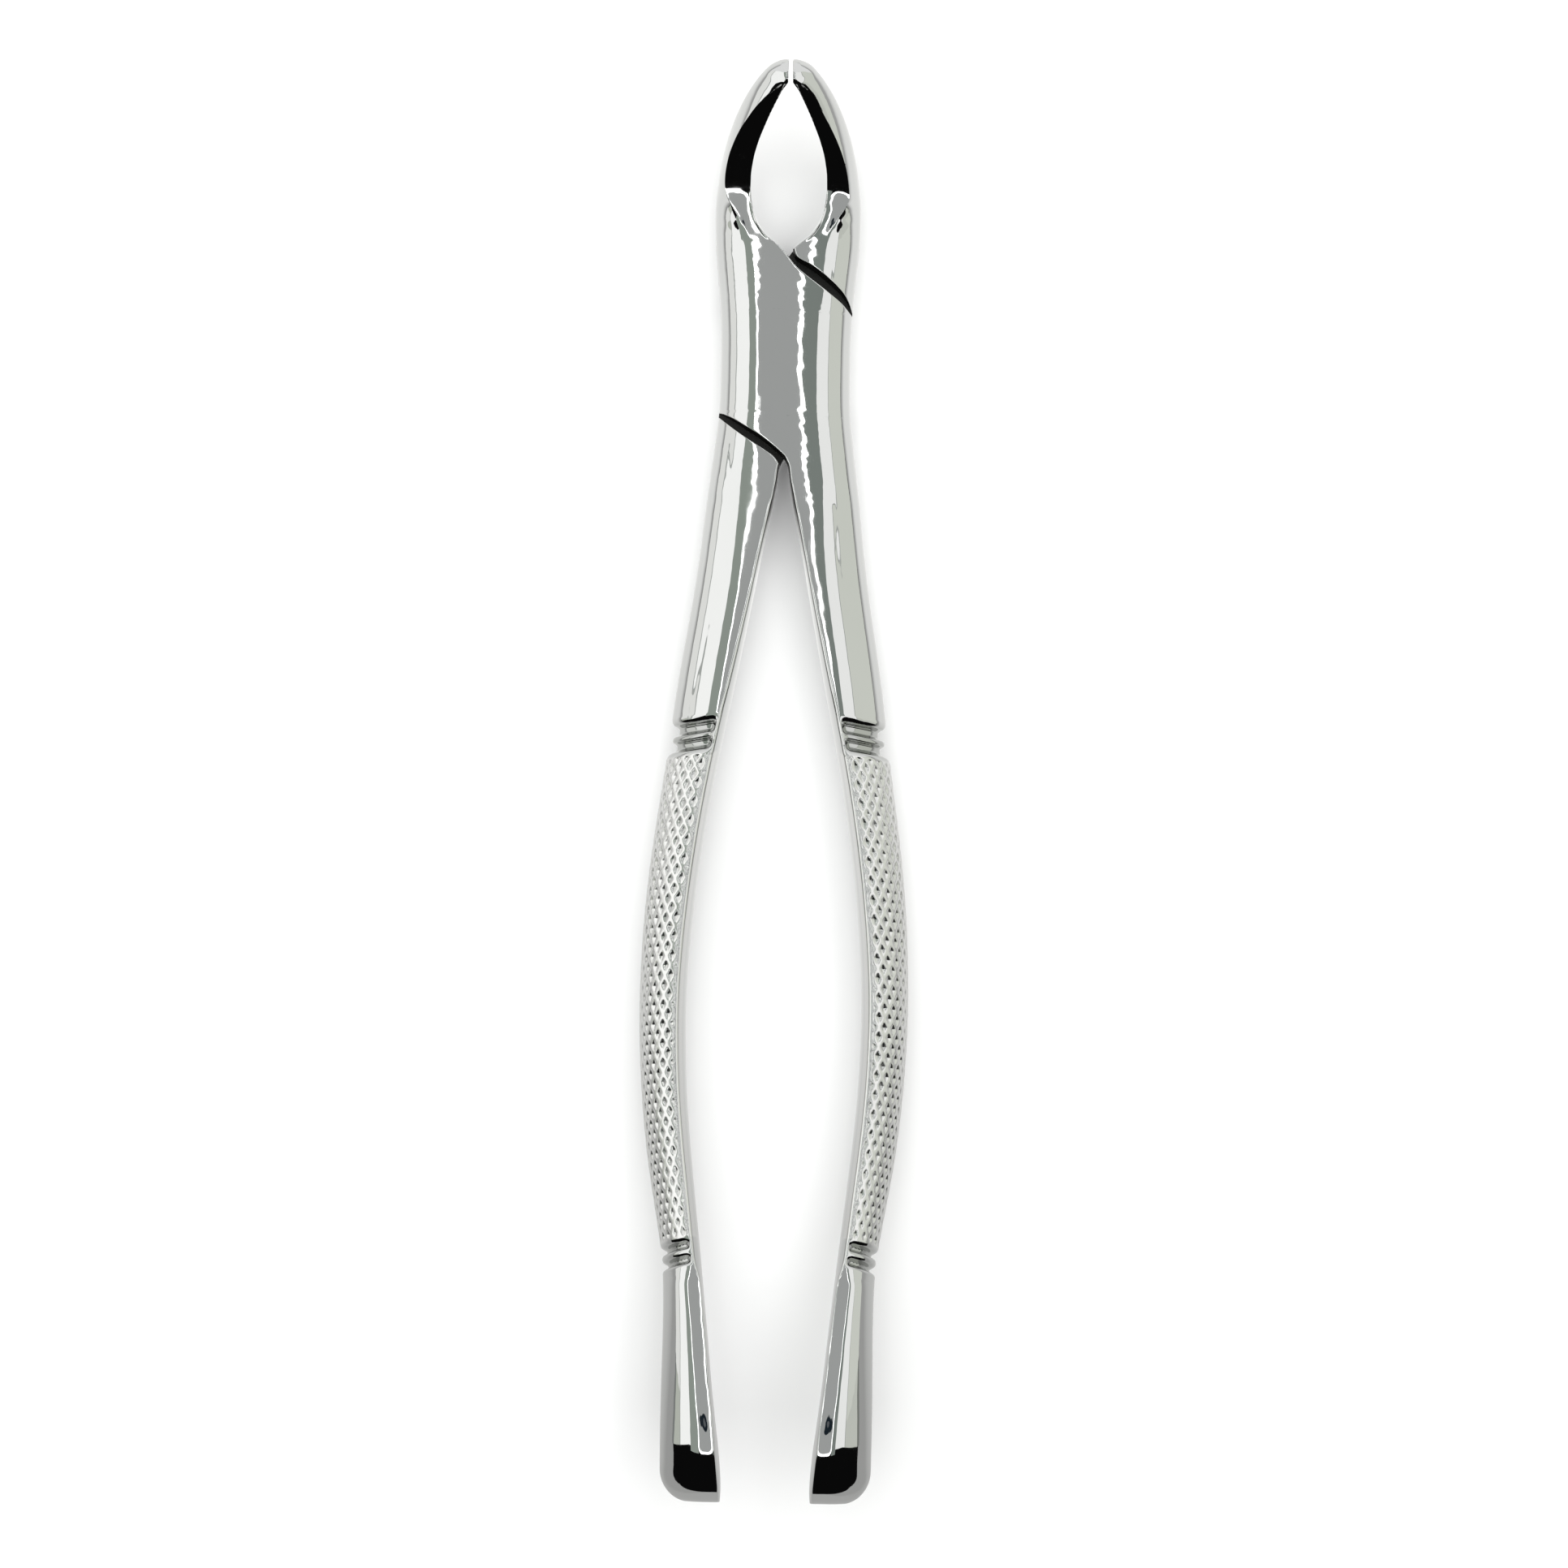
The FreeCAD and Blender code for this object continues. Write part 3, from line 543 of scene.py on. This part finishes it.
def screw_hole(bm, n=96):
    """The countersunk hole in the back leaf: cut out of its two flat faces and lined with rings."""
    z_back, z_leaf = (BACK_FLAT + SHIFT_Z) / 1000, (MID_Z - LEAF_GAP + SHIFT_Z) / 1000

    def ring(r, z):
        vs = [bm.verts.new((r * math.cos(2 * math.pi * i / n) / 1000, (r * math.sin(2 * math.pi * i / n) + SHIFT_Y) / 1000, z)) for i in range(n)]
        return vs, [bm.edges.new((vs[i], vs[(i + 1) % n])) for i in range(n)]

    def cut(z, reach, slack, r):
        gone = []
        for f in bm.faces:
            m = f.calc_center_median()
            if math.hypot(m.x, m.y - SHIFT_Y / 1000) < reach / 1000 and all(abs(v.co.z - z) < slack for v in f.verts):
                gone.append(f)
        mine = set(gone)
        rim = list({e for f in gone for e in f.edges if sum(1 for q in e.link_faces if q in mine) != len(e.link_faces)})
        bmesh.ops.delete(bm, geom=gone, context="FACES_ONLY")
        vs, es = ring(r, z)
        bmesh.ops.triangle_fill(bm, edges=rim + es, use_beauty=True, normal=(0, 0, -1 if z == z_back else 1))
        for e in [e for e in bm.edges if not e.link_faces]:
            bm.edges.remove(e)
        for v in [v for v in bm.verts if not v.link_edges]:
            bm.verts.remove(v)
        return vs

    a = cut(z_back, 4.62, 6e-5, 4.02)
    b = cut(z_leaf, 4.3, 2e-6, 2.76)
    rings = [a] + [ring(r, z_back + z / 1000)[0] for r, z in ((3.94, 0.07), (3.94, 0.45), (2.76, 1.75))] + [b]
    for lo, hi in zip(rings, rings[1:]):
        for i in range(n):
            j = (i + 1) % n
            bm.faces.new((lo[i], lo[j], hi[j], hi[i]))
    bmesh.ops.recalc_face_normals(bm, faces=bm.faces)


def build_arm(name, front_arm):
    ss = stations()
    rows = []
    for s in ss:
        F, M1, B, M2 = loop(s, front_arm)
        rows.append(np.concatenate([F, M1[1:], B[1:], M2[1:-1]]))
    P = np.array(rows)                                     # rows, columns, (x, w)
    R, C = P.shape[:2]
    if not front_arm:
        P = -P
    S = np.repeat(np.array(ss)[:, None], C, 1)
    x, w = P[..., 0], P[..., 1]
    ys = np.interp(S, SPINE[:, 0], SPINE[:, 1])
    # outward normal of each section, in its own plane
    fwd = np.roll(P, -1, 1) - P
    long = np.hypot(fwd[..., 0], fwd[..., 1]) > 1e-6
    fwd /= np.maximum(np.hypot(fwd[..., 0], fwd[..., 1]), 1e-9)[..., None]
    bwd = np.roll(fwd, 1, 1).copy()
    blong = np.roll(long, 1, 1)
    for _ in range(2):
        for j in range(C - 1, -1, -1):
            k = (j + 1) % C
            fwd[:, j] = np.where(long[:, j, None], fwd[:, j], fwd[:, k])
        for j in range(C):
            bwd[:, j] = np.where(blong[:, j, None], bwd[:, j], bwd[:, j - 1])
    d = fwd + bwd
    ln = np.maximum(np.hypot(d[..., 0], d[..., 1]), 1e-9)
    nx, nw = -d[..., 1] / ln, d[..., 0] / ln
    lift = np.zeros((R, C))
    satin = np.zeros((R, C))
    pit = np.zeros((R, C))
    gap_shade = np.zeros((R, C))
    # the handle is on the right of the front arm and on the left of the back arm
    side = 1.0 if front_arm else -1.0
    hx = x * side
    inn = np.array([handle_in(y) if y < -13 else 0.0 for y in ys[:, 0]])[:, None]
    out = np.array([half_out(min(y, 34.8)) for y in ys[:, 0]])[:, None]
    mid = (inn + out) / 2
    # distance from the outer edge line round the section, front positive
    seg = np.hypot(*(np.roll(P, -1, 1) - P).transpose(2, 0, 1))
    arc = np.concatenate([np.zeros((R, 1)), np.cumsum(seg, 1)[:, :-1]], 1)
    k = NF                                                # outer line at the end of the wide layer
    v = arc - arc[:, k:k + 1]
    v = -v if front_arm else v
    v = np.where(w >= 0, np.abs(v), -np.abs(v))
    # grooves and knurling stop short of the smooth strip along the inner face
    strip = np.clip((hx - inn - 0.95) / 0.9, 0, 1)
    strip = strip * strip * (3 - 2 * strip)
    se = S + (hx - mid) * RING_TILT
    rd = np.interp(se, RING_S, RING_D)
    table = np.array([[q, ring_depth(q)] for q in np.arange(-114, -43, 0.02)])
    rd = np.interp(se, table[:, 0], table[:, 1])
    handle = (ys < -20)
    lift -= np.where(handle, rd * strip, 0.0)
    # the grooves' mask also carries painted shade: it darkens their colour through the pit attribute
    groove_shade = np.where(handle, np.clip(rd * 3, 0, 1) * strip, 0.0)
    # knurling: a raised net round diamond pits
    axial = np.interp(-se, [49, 109], [2.30, 2.56])
    phase_u = np.interp(-se, np.arange(40, 121), np.concatenate([[0], np.cumsum(1 / np.interp(np.arange(40.5, 120.5), [49, 109], [2.30, 2.56]))]))
    lateral = np.interp(-S, [49, 70, 90, 109], [1.42, 1.42, 1.32, 1.20])
    pv = v / lateral
    p1, p2 = phase_u + pv, phase_u - pv
    f1, f2 = np.abs(2 * (p1 % 1.0) - 1), np.abs(2 * (p2 % 1.0) - 1)
    # centre of this point's own diamond
    c1, c2 = np.floor(p1) + 0.5, np.floor(p2) + 0.5
    vc = (c1 - c2) / 2 * lateral
    r0 = np.interp(-se, [49, 60, 80, 109], [0.84, 0.78, 0.70, 0.64])
    m = np.clip(1 - np.maximum(f1, f2) / r0, 0, 1)
    soft = np.maximum(f1, f2) / r0
    m = np.where(soft > 0.8, m * np.clip((1.12 - soft) / 0.32, 0, 1), m)
    zone = np.clip((KNURL_TOP - se) / 0.35, 0, 1) * np.clip((se - KNURL_END) / 0.35, 0, 1)
    edge = np.clip((hx - inn - 1.40) / 0.14, 0, 1)
    depth = np.interp(-se, [49, 80, 109], [0.27, 0.23, 0.21])
    pit = np.where(handle, m * zone * edge, 0.0)
    lift -= depth * pit
    satin = np.where(handle, np.clip((KNURL_TOP + 0.2 - se) / 0.3, 0, 1) * np.clip((se - KNURL_END + 0.2) / 0.3, 0, 1)
                     * np.clip((hx - inn - 0.22) / 0.2, 0, 1), 0.0)
    # a shallow step down from the net to the polished strip
    lift -= np.where(handle, 0.05 * zone * (1 - np.clip((hx - inn - 1.33) / 0.12, 0, 1)) * np.clip((hx - inn) / 0.3, 0, 1), 0.0)
    # hand polishing
    lead = 1.0 if front_arm else 2.0
    rip = ripple(S, x * 1.0 + w * 0.7, lead)
    planar = (np.abs(w) < 0.2) & (np.abs(ys) < 14.4)
    quiet = np.where(w < 0, 0.0, 1.0) * np.where(planar, 0.0, 1.0)
    lift += 0.0052 * rip * quiet * (1 - satin)
    # fine serration of the gripping faces near the tips
    grip_face = (ys > 27) & (np.abs(x) < np.array([beak_in(y) if y > 13.4 else 0.0 for y in ys[:, 0]])[:, None] + 0.12)
    lift -= np.where(grip_face, 0.05 * (0.5 + 0.5 * np.sin(2 * math.pi * S / 0.62)) * np.clip((S - 30) / 3, 0, 1), 0.0)
    # painted shade: faces hidden in the joint, the leaves' inner faces and the walls that face their edges, are painted
    # dark and made rough
    hh = np.array([half_depth(q) for q in ss])[:, None]
    steep = np.abs(nw) < 0.45
    wall_pts = (np.abs(ys) < 14.4) & (np.abs(nw) < 0.22) & (np.abs(x) < out - 0.35)
    gap_shade = np.where(wall_pts | planar, 1.0, 0.0) * (np.abs(w) < hh - 0.22)
    # the crotch walls between the shanks get the same painted shade, fading out towards the handles
    crotch = steep & (ys < -14) & (hx < mid) & (np.abs(w) < hh - 0.35)
    gap_shade = np.maximum(gap_shade, np.where(crotch, np.clip((ys + 27) / 9, 0, 1), 0.0))
    x2, w2 = x + nx * lift, w + nw * lift
    t = np.radians(np.array([tilt_deg(s) for s in ss]))[:, None]
    zs = np.interp(S, SPINE[:, 0], SPINE[:, 2])
    Y = ys - w2 * np.sin(t)
    Z = zs + w2 * np.cos(t)
    Z = np.maximum(Z, BACK_FLAT)
    co = np.stack([x2, Y + SHIFT_Y, Z + SHIFT_Z], -1).reshape(-1, 3) / 1000.0
    co = np.clip(co, np.array(cad_box[0]) + 1e-7, np.array(cad_box[1]) - 1e-7)
    idx = np.arange(R * C).reshape(R, C)
    a, b = idx[:-1, :], np.roll(idx, -1, 1)[:-1, :]
    c, e = np.roll(idx, -1, 1)[1:, :], idx[1:, :]
    quads = np.stack([a, e, c, b], -1).reshape(-1, 4)
    me = bpy.data.meshes.new(name)
    me.from_pydata(co.tolist(), [], quads.tolist())
    at = me.attributes.new("satin", "FLOAT", "POINT")
    at.data.foreach_set("value", satin.astype(np.float32).ravel())
    # mask of the painted shade on the hidden joint faces and the crotch walls
    at = me.attributes.new("gap_shade", "FLOAT", "POINT")
    at.data.foreach_set("value", gap_shade.astype(np.float32).ravel())
    # painted shade: the pit attribute darkens the colour faintly in the knurl pits and more in the turned grooves
    at = me.attributes.new("pit", "FLOAT", "POINT")
    at.data.foreach_set("value", np.clip(pit * 0.15 + groove_shade, 0, 1).astype(np.float32).ravel())
    bm = bmesh.new()
    bm.from_mesh(me)
    bm.verts.ensure_lookup_table()
    bm.faces.new([bm.verts[i] for i in idx[0][::-1]])
    bm.faces.new([bm.verts[i] for i in idx[-1]])
    bmesh.ops.remove_doubles(bm, verts=bm.verts, dist=2e-7)
    bmesh.ops.dissolve_degenerate(bm, edges=bm.edges, dist=1e-8)
    bmesh.ops.recalc_face_normals(bm, faces=bm.faces)
    if not front_arm:
        screw_hole(bm)
    for f in bm.faces:
        f.smooth = True
    open_edges = sum(1 for ed in bm.edges if len(ed.link_faces) != 2)
    print(name, "faces", len(bm.faces), "edges without two faces", open_edges, "volume mm3", round(bm.calc_volume() * 1e9, 1))
    bm.to_mesh(me)
    bm.free()
    me.set_sharp_from_angle(angle=math.radians(34))
    ob = bpy.data.objects.new(name, me)
    bpy.context.scene.collection.objects.link(ob)
    return ob


# ---------------------------------------------------------------- materials
def new_material(name):
    mat = bpy.data.materials.new(name)
    mat.use_nodes = True
    nt = mat.node_tree
    nt.nodes.clear()
    return mat, nt


def steel(name, base, polish, arms):
    """Polished stainless steel: object-space waves, hairline scratches, smudges; satin where it is knurled. On the
    arms, painted shade darkens the knurl pits, the turned grooves, the hidden joint faces and the crotch walls.
    """
    mat, nt = new_material(name)
    N, L = nt.nodes.new, nt.links.new
    out = N("ShaderNodeOutputMaterial")
    bsdf = N("ShaderNodeBsdfPrincipled")
    L(bsdf.outputs[0], out.inputs[0])
    bsdf.inputs["Metallic"].default_value = 1.0
    tc = N("ShaderNodeTexCoord")

    def mapped(scale, rot=(0, 0, 0)):
        mp = N("ShaderNodeMapping")
        mp.inputs["Scale"].default_value = scale
        mp.inputs["Rotation"].default_value = rot
        L(tc.outputs["Object"], mp.inputs["Vector"])
        return mp.outputs[0]

    def noise(vec, scale, detail=3.0, rough=0.5):
        n = N("ShaderNodeTexNoise")
        n.inputs["Scale"].default_value = scale
        n.inputs["Detail"].default_value = detail
        n.inputs["Roughness"].default_value = rough
        L(vec, n.inputs["Vector"])
        return n.outputs["Fac"]

    def ramp(fac, stops):
        r = N("ShaderNodeValToRGB")
        el = r.color_ramp.elements
        el[0].position, el[0].color = stops[0][0], (*[stops[0][1]] * 3, 1)
        el[1].position, el[1].color = stops[-1][0], (*[stops[-1][1]] * 3, 1)
        for pos, val in stops[1:-1]:
            e = el.new(pos)
            e.color = (*[val] * 3, 1)
        L(fac, r.inputs[0])
        return r.outputs[0]

    def math_node(op, a, b):
        n = N("ShaderNodeMath")
        n.operation = op
        for i, q in enumerate((a, b)):
            if isinstance(q, (int, float)):
                n.inputs[i].default_value = q
            else:
                L(q, n.inputs[i])
        return n.outputs[0]

    smudge = noise(mapped((1, 0.55, 1)), 95.0, 5.0, 0.62)
    fine = noise(mapped((1, 1, 1)), 900.0, 2.0, 0.5)
    # hairline scratches along and across the tool
    along = noise(mapped((2600, 60, 2600), (0, 0, math.radians(4))), 1.0, 2.0, 0.6)
    across = noise(mapped((90, 3200, 90), (0, 0, math.radians(-23))), 1.0, 2.0, 0.6)
    scratch_a = ramp(along, [(0.66, 0.0), (0.72, 1.0)])
    scratch_b = ramp(across, [(0.70, 0.0), (0.75, 1.0)])
    scratches = math_node("MAXIMUM", scratch_a, scratch_b)
    patch = ramp(noise(mapped((1, 1, 1)), 140.0, 2.0, 0.5), [(0.45, 0.0), (0.62, 1.0)])
    scratches = math_node("MULTIPLY", scratches, patch)
    rough = ramp(smudge, [(0.35, polish), (0.55, polish + 0.012), (0.72, polish + 0.06)])
    rough = math_node("ADD", rough, math_node("MULTIPLY", scratches, 0.10))
    colour = N("ShaderNodeMix")
    colour.data_type = "RGBA"
    colour.inputs[6].default_value = (*base, 1)
    colour.inputs[7].default_value = (base[0] * 0.93, base[1] * 0.935, base[2] * 0.93, 1)
    L(smudge, colour.inputs[0])
    col = colour.outputs[2]
    height = math_node("ADD", math_node("MULTIPLY", fine, 0.25), math_node("MULTIPLY", scratches, -0.35))
    if arms:
        sat = N("ShaderNodeAttribute")
        sat.attribute_name = "satin"
        pit_shade_node = N("ShaderNodeAttribute")
        pit_shade_node.attribute_name = "pit"
        grain = noise(mapped((1, 1, 1)), 5200.0, 3.0, 0.7)
        r2 = math_node("ADD", 0.15, math_node("MULTIPLY", grain, 0.09))
        mixr = N("ShaderNodeMix")
        L(sat.outputs["Fac"], mixr.inputs[0])
        L(rough, mixr.inputs[2])
        L(r2, mixr.inputs[3])
        rough = mixr.outputs[0]
        # painted shade: colour darkened in the knurl pits and the turned grooves
        dark = N("ShaderNodeMix")
        dark.data_type = "RGBA"
        L(math_node("MULTIPLY", pit_shade_node.outputs["Fac"], 0.6), dark.inputs[0])
        dark.inputs[7].default_value = (base[0] * 0.55, base[1] * 0.56, base[2] * 0.54, 1)
        pale = N("ShaderNodeMix")
        pale.data_type = "RGBA"
        L(sat.outputs["Fac"], pale.inputs[0])
        L(col, pale.inputs[6])
        pale.inputs[7].default_value = (0.77, 0.77, 0.76, 1)
        L(pale.outputs[2], dark.inputs[6])
        # painted shade: near-black colour and rougher steel on the hidden joint faces and the crotch walls
        gap_shade_node = N("ShaderNodeAttribute")
        gap_shade_node.attribute_name = "gap_shade"
        black = N("ShaderNodeMix")
        black.data_type = "RGBA"
        L(gap_shade_node.outputs["Fac"], black.inputs[0])
        L(dark.outputs[2], black.inputs[6])
        black.inputs[7].default_value = (0.06, 0.06, 0.058, 1)
        col = black.outputs[2]
        mixl = N("ShaderNodeMix")
        L(gap_shade_node.outputs["Fac"], mixl.inputs[0])
        L(rough, mixl.inputs[2])
        mixl.inputs[3].default_value = 0.42
        rough = mixl.outputs[0]
        height = math_node("ADD", height, math_node("MULTIPLY", math_node("MULTIPLY", grain, 1.6), sat.outputs["Fac"]))
    L(col, bsdf.inputs["Base Color"])
    L(rough, bsdf.inputs["Roughness"])
    bump = N("ShaderNodeBump")
    bump.inputs["Strength"].default_value = 0.10
    bump.inputs["Distance"].default_value = 0.00002
    L(height, bump.inputs["Height"])
    L(bump.outputs[0], bsdf.inputs["Normal"])
    return mat


arm_steel = steel("polished_steel", (0.70, 0.705, 0.70), 0.022, True)
screw_steel = steel("screw_steel", (0.66, 0.66, 0.655), 0.07, False)

front = build_arm("front_arm_forging", True)
back = build_arm("back_arm_forging", False)
for ob, node, body in ((front, "front_arm", "front_half"), (back, "back_arm", "back_half")):
    ob.data.materials.append(arm_steel)
    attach(ob, body)
    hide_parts(node)
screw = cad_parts["pivot_screw"]
screw.data.materials.clear()
screw.data.materials.append(screw_steel)


# ---------------------------------------------------------------- the studio
def glow(name, colour, strength=1.0):
    mat, nt = new_material(name)
    o = nt.nodes.new("ShaderNodeOutputMaterial")
    e = nt.nodes.new("ShaderNodeEmission")
    e.inputs[0].default_value = (*colour, 1)
    e.inputs[1].default_value = strength
    nt.links.new(e.outputs[0], o.inputs[0])
    return mat


def panel(name, corners, colour, strength=1.0, camera=False):
    """A flat panel of the light tent, corners in mm; seen only in reflections."""
    me = bpy.data.meshes.new(name)
    me.from_pydata([(x / 1000, y / 1000, z / 1000) for x, y, z in corners], [], [tuple(range(len(corners)))])
    ob = bpy.data.objects.new(name, me)
    bpy.context.scene.collection.objects.link(ob)
    me.materials.append(glow("glow_" + name, colour, strength))
    ob.visible_camera = camera
    ob.visible_shadow = False
    return ob


def ceiling(name, x0, x1, y0, y1, z, colour, strength=1.0):
    return panel(name, [(x0, y0, z), (x0, y1, z), (x1, y1, z), (x1, y0, z)], colour, strength)


def wall_x(name, x, y0, y1, z0, z1, colour, strength=1.0):
    return panel(name, [(x, y0, z0), (x, y1, z0), (x, y1, z1), (x, y0, z1)], colour, strength)


def wall_y(name, y, x0, x1, z0, z1, colour, strength=1.0):
    return panel(name, [(x0, y, z0), (x1, y, z0), (x1, y, z1), (x0, y, z1)], colour, strength)


TOP = 458.0
FRONT, BACK = -150.0, 330.0
grey = (0.455, 0.465, 0.46)
dim = (0.36, 0.40, 0.36)
SIDE = -125.0
ceiling("tent_roof", -58, 42, FRONT, BACK, TOP, grey)
ceiling("lamp_left", -76, -58, FRONT - 22, BACK, TOP, (1, 1, 1), 3.0)
ceiling("lamp_right", 42, 53, FRONT - 22, BACK, TOP, (1, 1, 1), 3.0)
ceiling("lamp_front", -58, 42, FRONT - 22, FRONT, TOP, (1, 1, 1), 3.0)
ceiling("roof_left", -268, -76, FRONT - 22, BACK, TOP, dim)
ceiling("roof_right", 53, 132, FRONT - 22, BACK, TOP, (0.26, 0.29, 0.27))
ceiling("roof_far_right", 132, 330, SIDE, BACK, TOP, (1, 1, 0.99), 1.13)
ceiling("roof_edge_left", -330, -268, SIDE, BACK, TOP, (1, 1, 0.99), 1.28)
wall_x("left_upper", -330, SIDE, BACK, 166, TOP, (1, 1, 0.99), 1.28)
wall_x("left_seam", -330, SIDE, BACK, 150, 166, (0.50, 0.52, 0.50))
wall_x("left_lower", -330, -40, BACK, 12, 150, (1.0, 1.0, 0.975), 1.02)
wall_x("left_lower_front", -330, SIDE, -40, 34, 150, (0.96, 1.0, 0.90), 0.64)
wall_x("left_foot_front", -330, SIDE, -40, 4, 34, (0.27, 0.28, 0.27))
wall_x("right_upper", 330, SIDE, BACK, 362, TOP, (1, 1, 0.99), 1.13)
wall_x("right_seam", 330, SIDE, BACK, 344, 362, (0.46, 0.48, 0.46))
wall_x("right_lower", 330, -40, BACK, 14, 344, (0.975, 1.0, 0.92), 0.82)
wall_x("right_lower_front", 330, SIDE, -40, 36, 344, (0.975, 1.0, 0.92), 0.72)
wall_x("right_foot_front", 330, SIDE, -40, 4, 36, (0.25, 0.26, 0.24))
wall_y("tent_back", BACK, -330, 330, 10, TOP, (1, 1, 1), 1.0)

# the bar lamp runs round the front corners in an arc
def arc_corner(name, cx, cy, sx, r, z, colour, strength):
    pts = [(cx, cy, z), (cx, cy + r, z)]
    for i in range(1, 12):
        a = math.pi / 2 * i / 12
        pts.append((cx + sx * r * (1 - math.cos(a)), cy + r * (1 - math.sin(a)), z))
    pts.append((cx + sx * r, cy, z))
    panel(name, pts, colour, strength)


arc_corner("lamp_corner_left", -58, FRONT, 1, 42, TOP - 1, (1, 1, 1), 3.0)
arc_corner("lamp_corner_right", 42, FRONT, -1, 42, TOP - 1, (1, 1, 1), 3.0)
arc_corner("dark_corner_left", -76, FRONT - 22, 1, 62, TOP - 2, (0.01, 0.01, 0.01), 1.0)
arc_corner("dark_corner_right", 53, FRONT - 22, -1, 56, TOP - 2, (0.01, 0.01, 0.01), 1.0)

# the lens over the tool
lens_ring = []
for i in range(64):
    a = 2 * math.pi * i / 64
    lens_ring.append((0.76 + 23 * math.cos(a), 23 * math.sin(a), TOP - 1))
panel("lens", lens_ring, (0.012, 0.02, 0.028))
panel("lens_glass", [(0.76 + (x - 0.76) * 0.45, y * 0.45, TOP - 2) for x, y, z in lens_ring], (0.12, 0.13, 0.14))

floor_mesh = bpy.data.meshes.new("floor")
floor_mesh.from_pydata([(-6, -6, 0), (6, -6, 0), (6, 6, 0), (-6, 6, 0)], [], [(0, 1, 2, 3)])
floor = bpy.data.objects.new("floor", floor_mesh)
bpy.context.scene.collection.objects.link(floor)
mat, nt = new_material("white_sweep")
o = nt.nodes.new("ShaderNodeOutputMaterial")
add = nt.nodes.new("ShaderNodeAddShader")
dif = nt.nodes.new("ShaderNodeBsdfDiffuse")
dif.inputs[0].default_value = (0.88, 0.88, 0.88, 1)
emi = nt.nodes.new("ShaderNodeEmission")
emi.inputs[0].default_value = (1, 1, 1, 1)
emi.inputs[1].default_value = 0.05
nt.links.new(dif.outputs[0], add.inputs[0])
nt.links.new(emi.outputs[0], add.inputs[1])
# what the steel sees of it: a painted glow in place of the lit floor, with painted shade darker towards the open front
# of the tent and away from the middle
path = nt.nodes.new("ShaderNodeLightPath")
geo = nt.nodes.new("ShaderNodeNewGeometry")
xyz = nt.nodes.new("ShaderNodeSeparateXYZ")
nt.links.new(geo.outputs["Position"], xyz.inputs[0])
fall = nt.nodes.new("ShaderNodeMapRange")
fall.inputs["From Min"].default_value, fall.inputs["From Max"].default_value = -0.10, 0.03
fall.inputs["To Min"].default_value, fall.inputs["To Max"].default_value = 0.50, 0.98
nt.links.new(xyz.outputs["Y"], fall.inputs["Value"])
wide = nt.nodes.new("ShaderNodeMath")
wide.operation = "ABSOLUTE"
nt.links.new(xyz.outputs["X"], wide.inputs[0])
away = nt.nodes.new("ShaderNodeMapRange")
away.inputs["From Min"].default_value, away.inputs["From Max"].default_value = 0.030, 0.085
away.inputs["To Min"].default_value, away.inputs["To Max"].default_value = 1.0, 0.50
nt.links.new(wide.outputs[0], away.inputs["Value"])
both = nt.nodes.new("ShaderNodeMath")
both.operation = "MULTIPLY"
nt.links.new(fall.outputs[0], both.inputs[0])
nt.links.new(away.outputs[0], both.inputs[1])
least = nt.nodes.new("ShaderNodeMath")
least.operation = "MAXIMUM"
least.inputs[1].default_value = 0.44
nt.links.new(both.outputs[0], least.inputs[0])
seen = nt.nodes.new("ShaderNodeEmission")
seen.inputs[0].default_value = (1, 1, 0.985, 1)
nt.links.new(least.outputs[0], seen.inputs[1])
pick = nt.nodes.new("ShaderNodeMixShader")
nt.links.new(path.outputs["Is Camera Ray"], pick.inputs[0])
nt.links.new(seen.outputs[0], pick.inputs[1])
nt.links.new(add.outputs[0], pick.inputs[2])
nt.links.new(pick.outputs[0], o.inputs[0])
floor_mesh.materials.append(mat)

# soft top light for the floor, not seen in the steel
lamp = bpy.data.lights.new("soft_top", "AREA")
lamp.shape, lamp.size, lamp.size_y = "RECTANGLE", 0.9, 1.1
lamp.energy = 8.0
lamp_ob = bpy.data.objects.new("soft_top", lamp)
lamp_ob.location = (0.02, 0.02, 0.75)
bpy.context.scene.collection.objects.link(lamp_ob)
lamp_ob.visible_glossy = False
lamp_ob.visible_camera = False

world = bpy.data.worlds.new("studio")
bpy.context.scene.world = world
world.use_nodes = True
bg = world.node_tree.nodes.get("Background") or world.node_tree.nodes.new("ShaderNodeBackground")
lp = world.node_tree.nodes.new("ShaderNodeLightPath")
mixw = world.node_tree.nodes.new("ShaderNodeMix")
mixw.data_type = "RGBA"
mixw.inputs[6].default_value = (0.004, 0.004, 0.004, 1)
mixw.inputs[7].default_value = (1.0, 1.0, 1.0, 1)
world.node_tree.links.new(lp.outputs["Is Camera Ray"], mixw.inputs[0])
world.node_tree.links.new(mixw.outputs[2], bg.inputs[0])

scene = bpy.context.scene
scene.view_settings.view_transform = "Standard"
scene.view_settings.look = "None"

cam = bpy.data.cameras.new("camera")
cam.sensor_width, cam.lens = 36.0, 82.17
cam.clip_start, cam.clip_end = 0.01, 20
cam_ob = bpy.data.objects.new("camera", cam)
cam_ob.location = (0.000757, (SHIFT_Y - 52.345) / 1000, 0.450)
cam_ob.rotation_euler = (0, 0, math.radians(1.05))
scene.collection.objects.link(cam_ob)
scene.camera = cam_ob
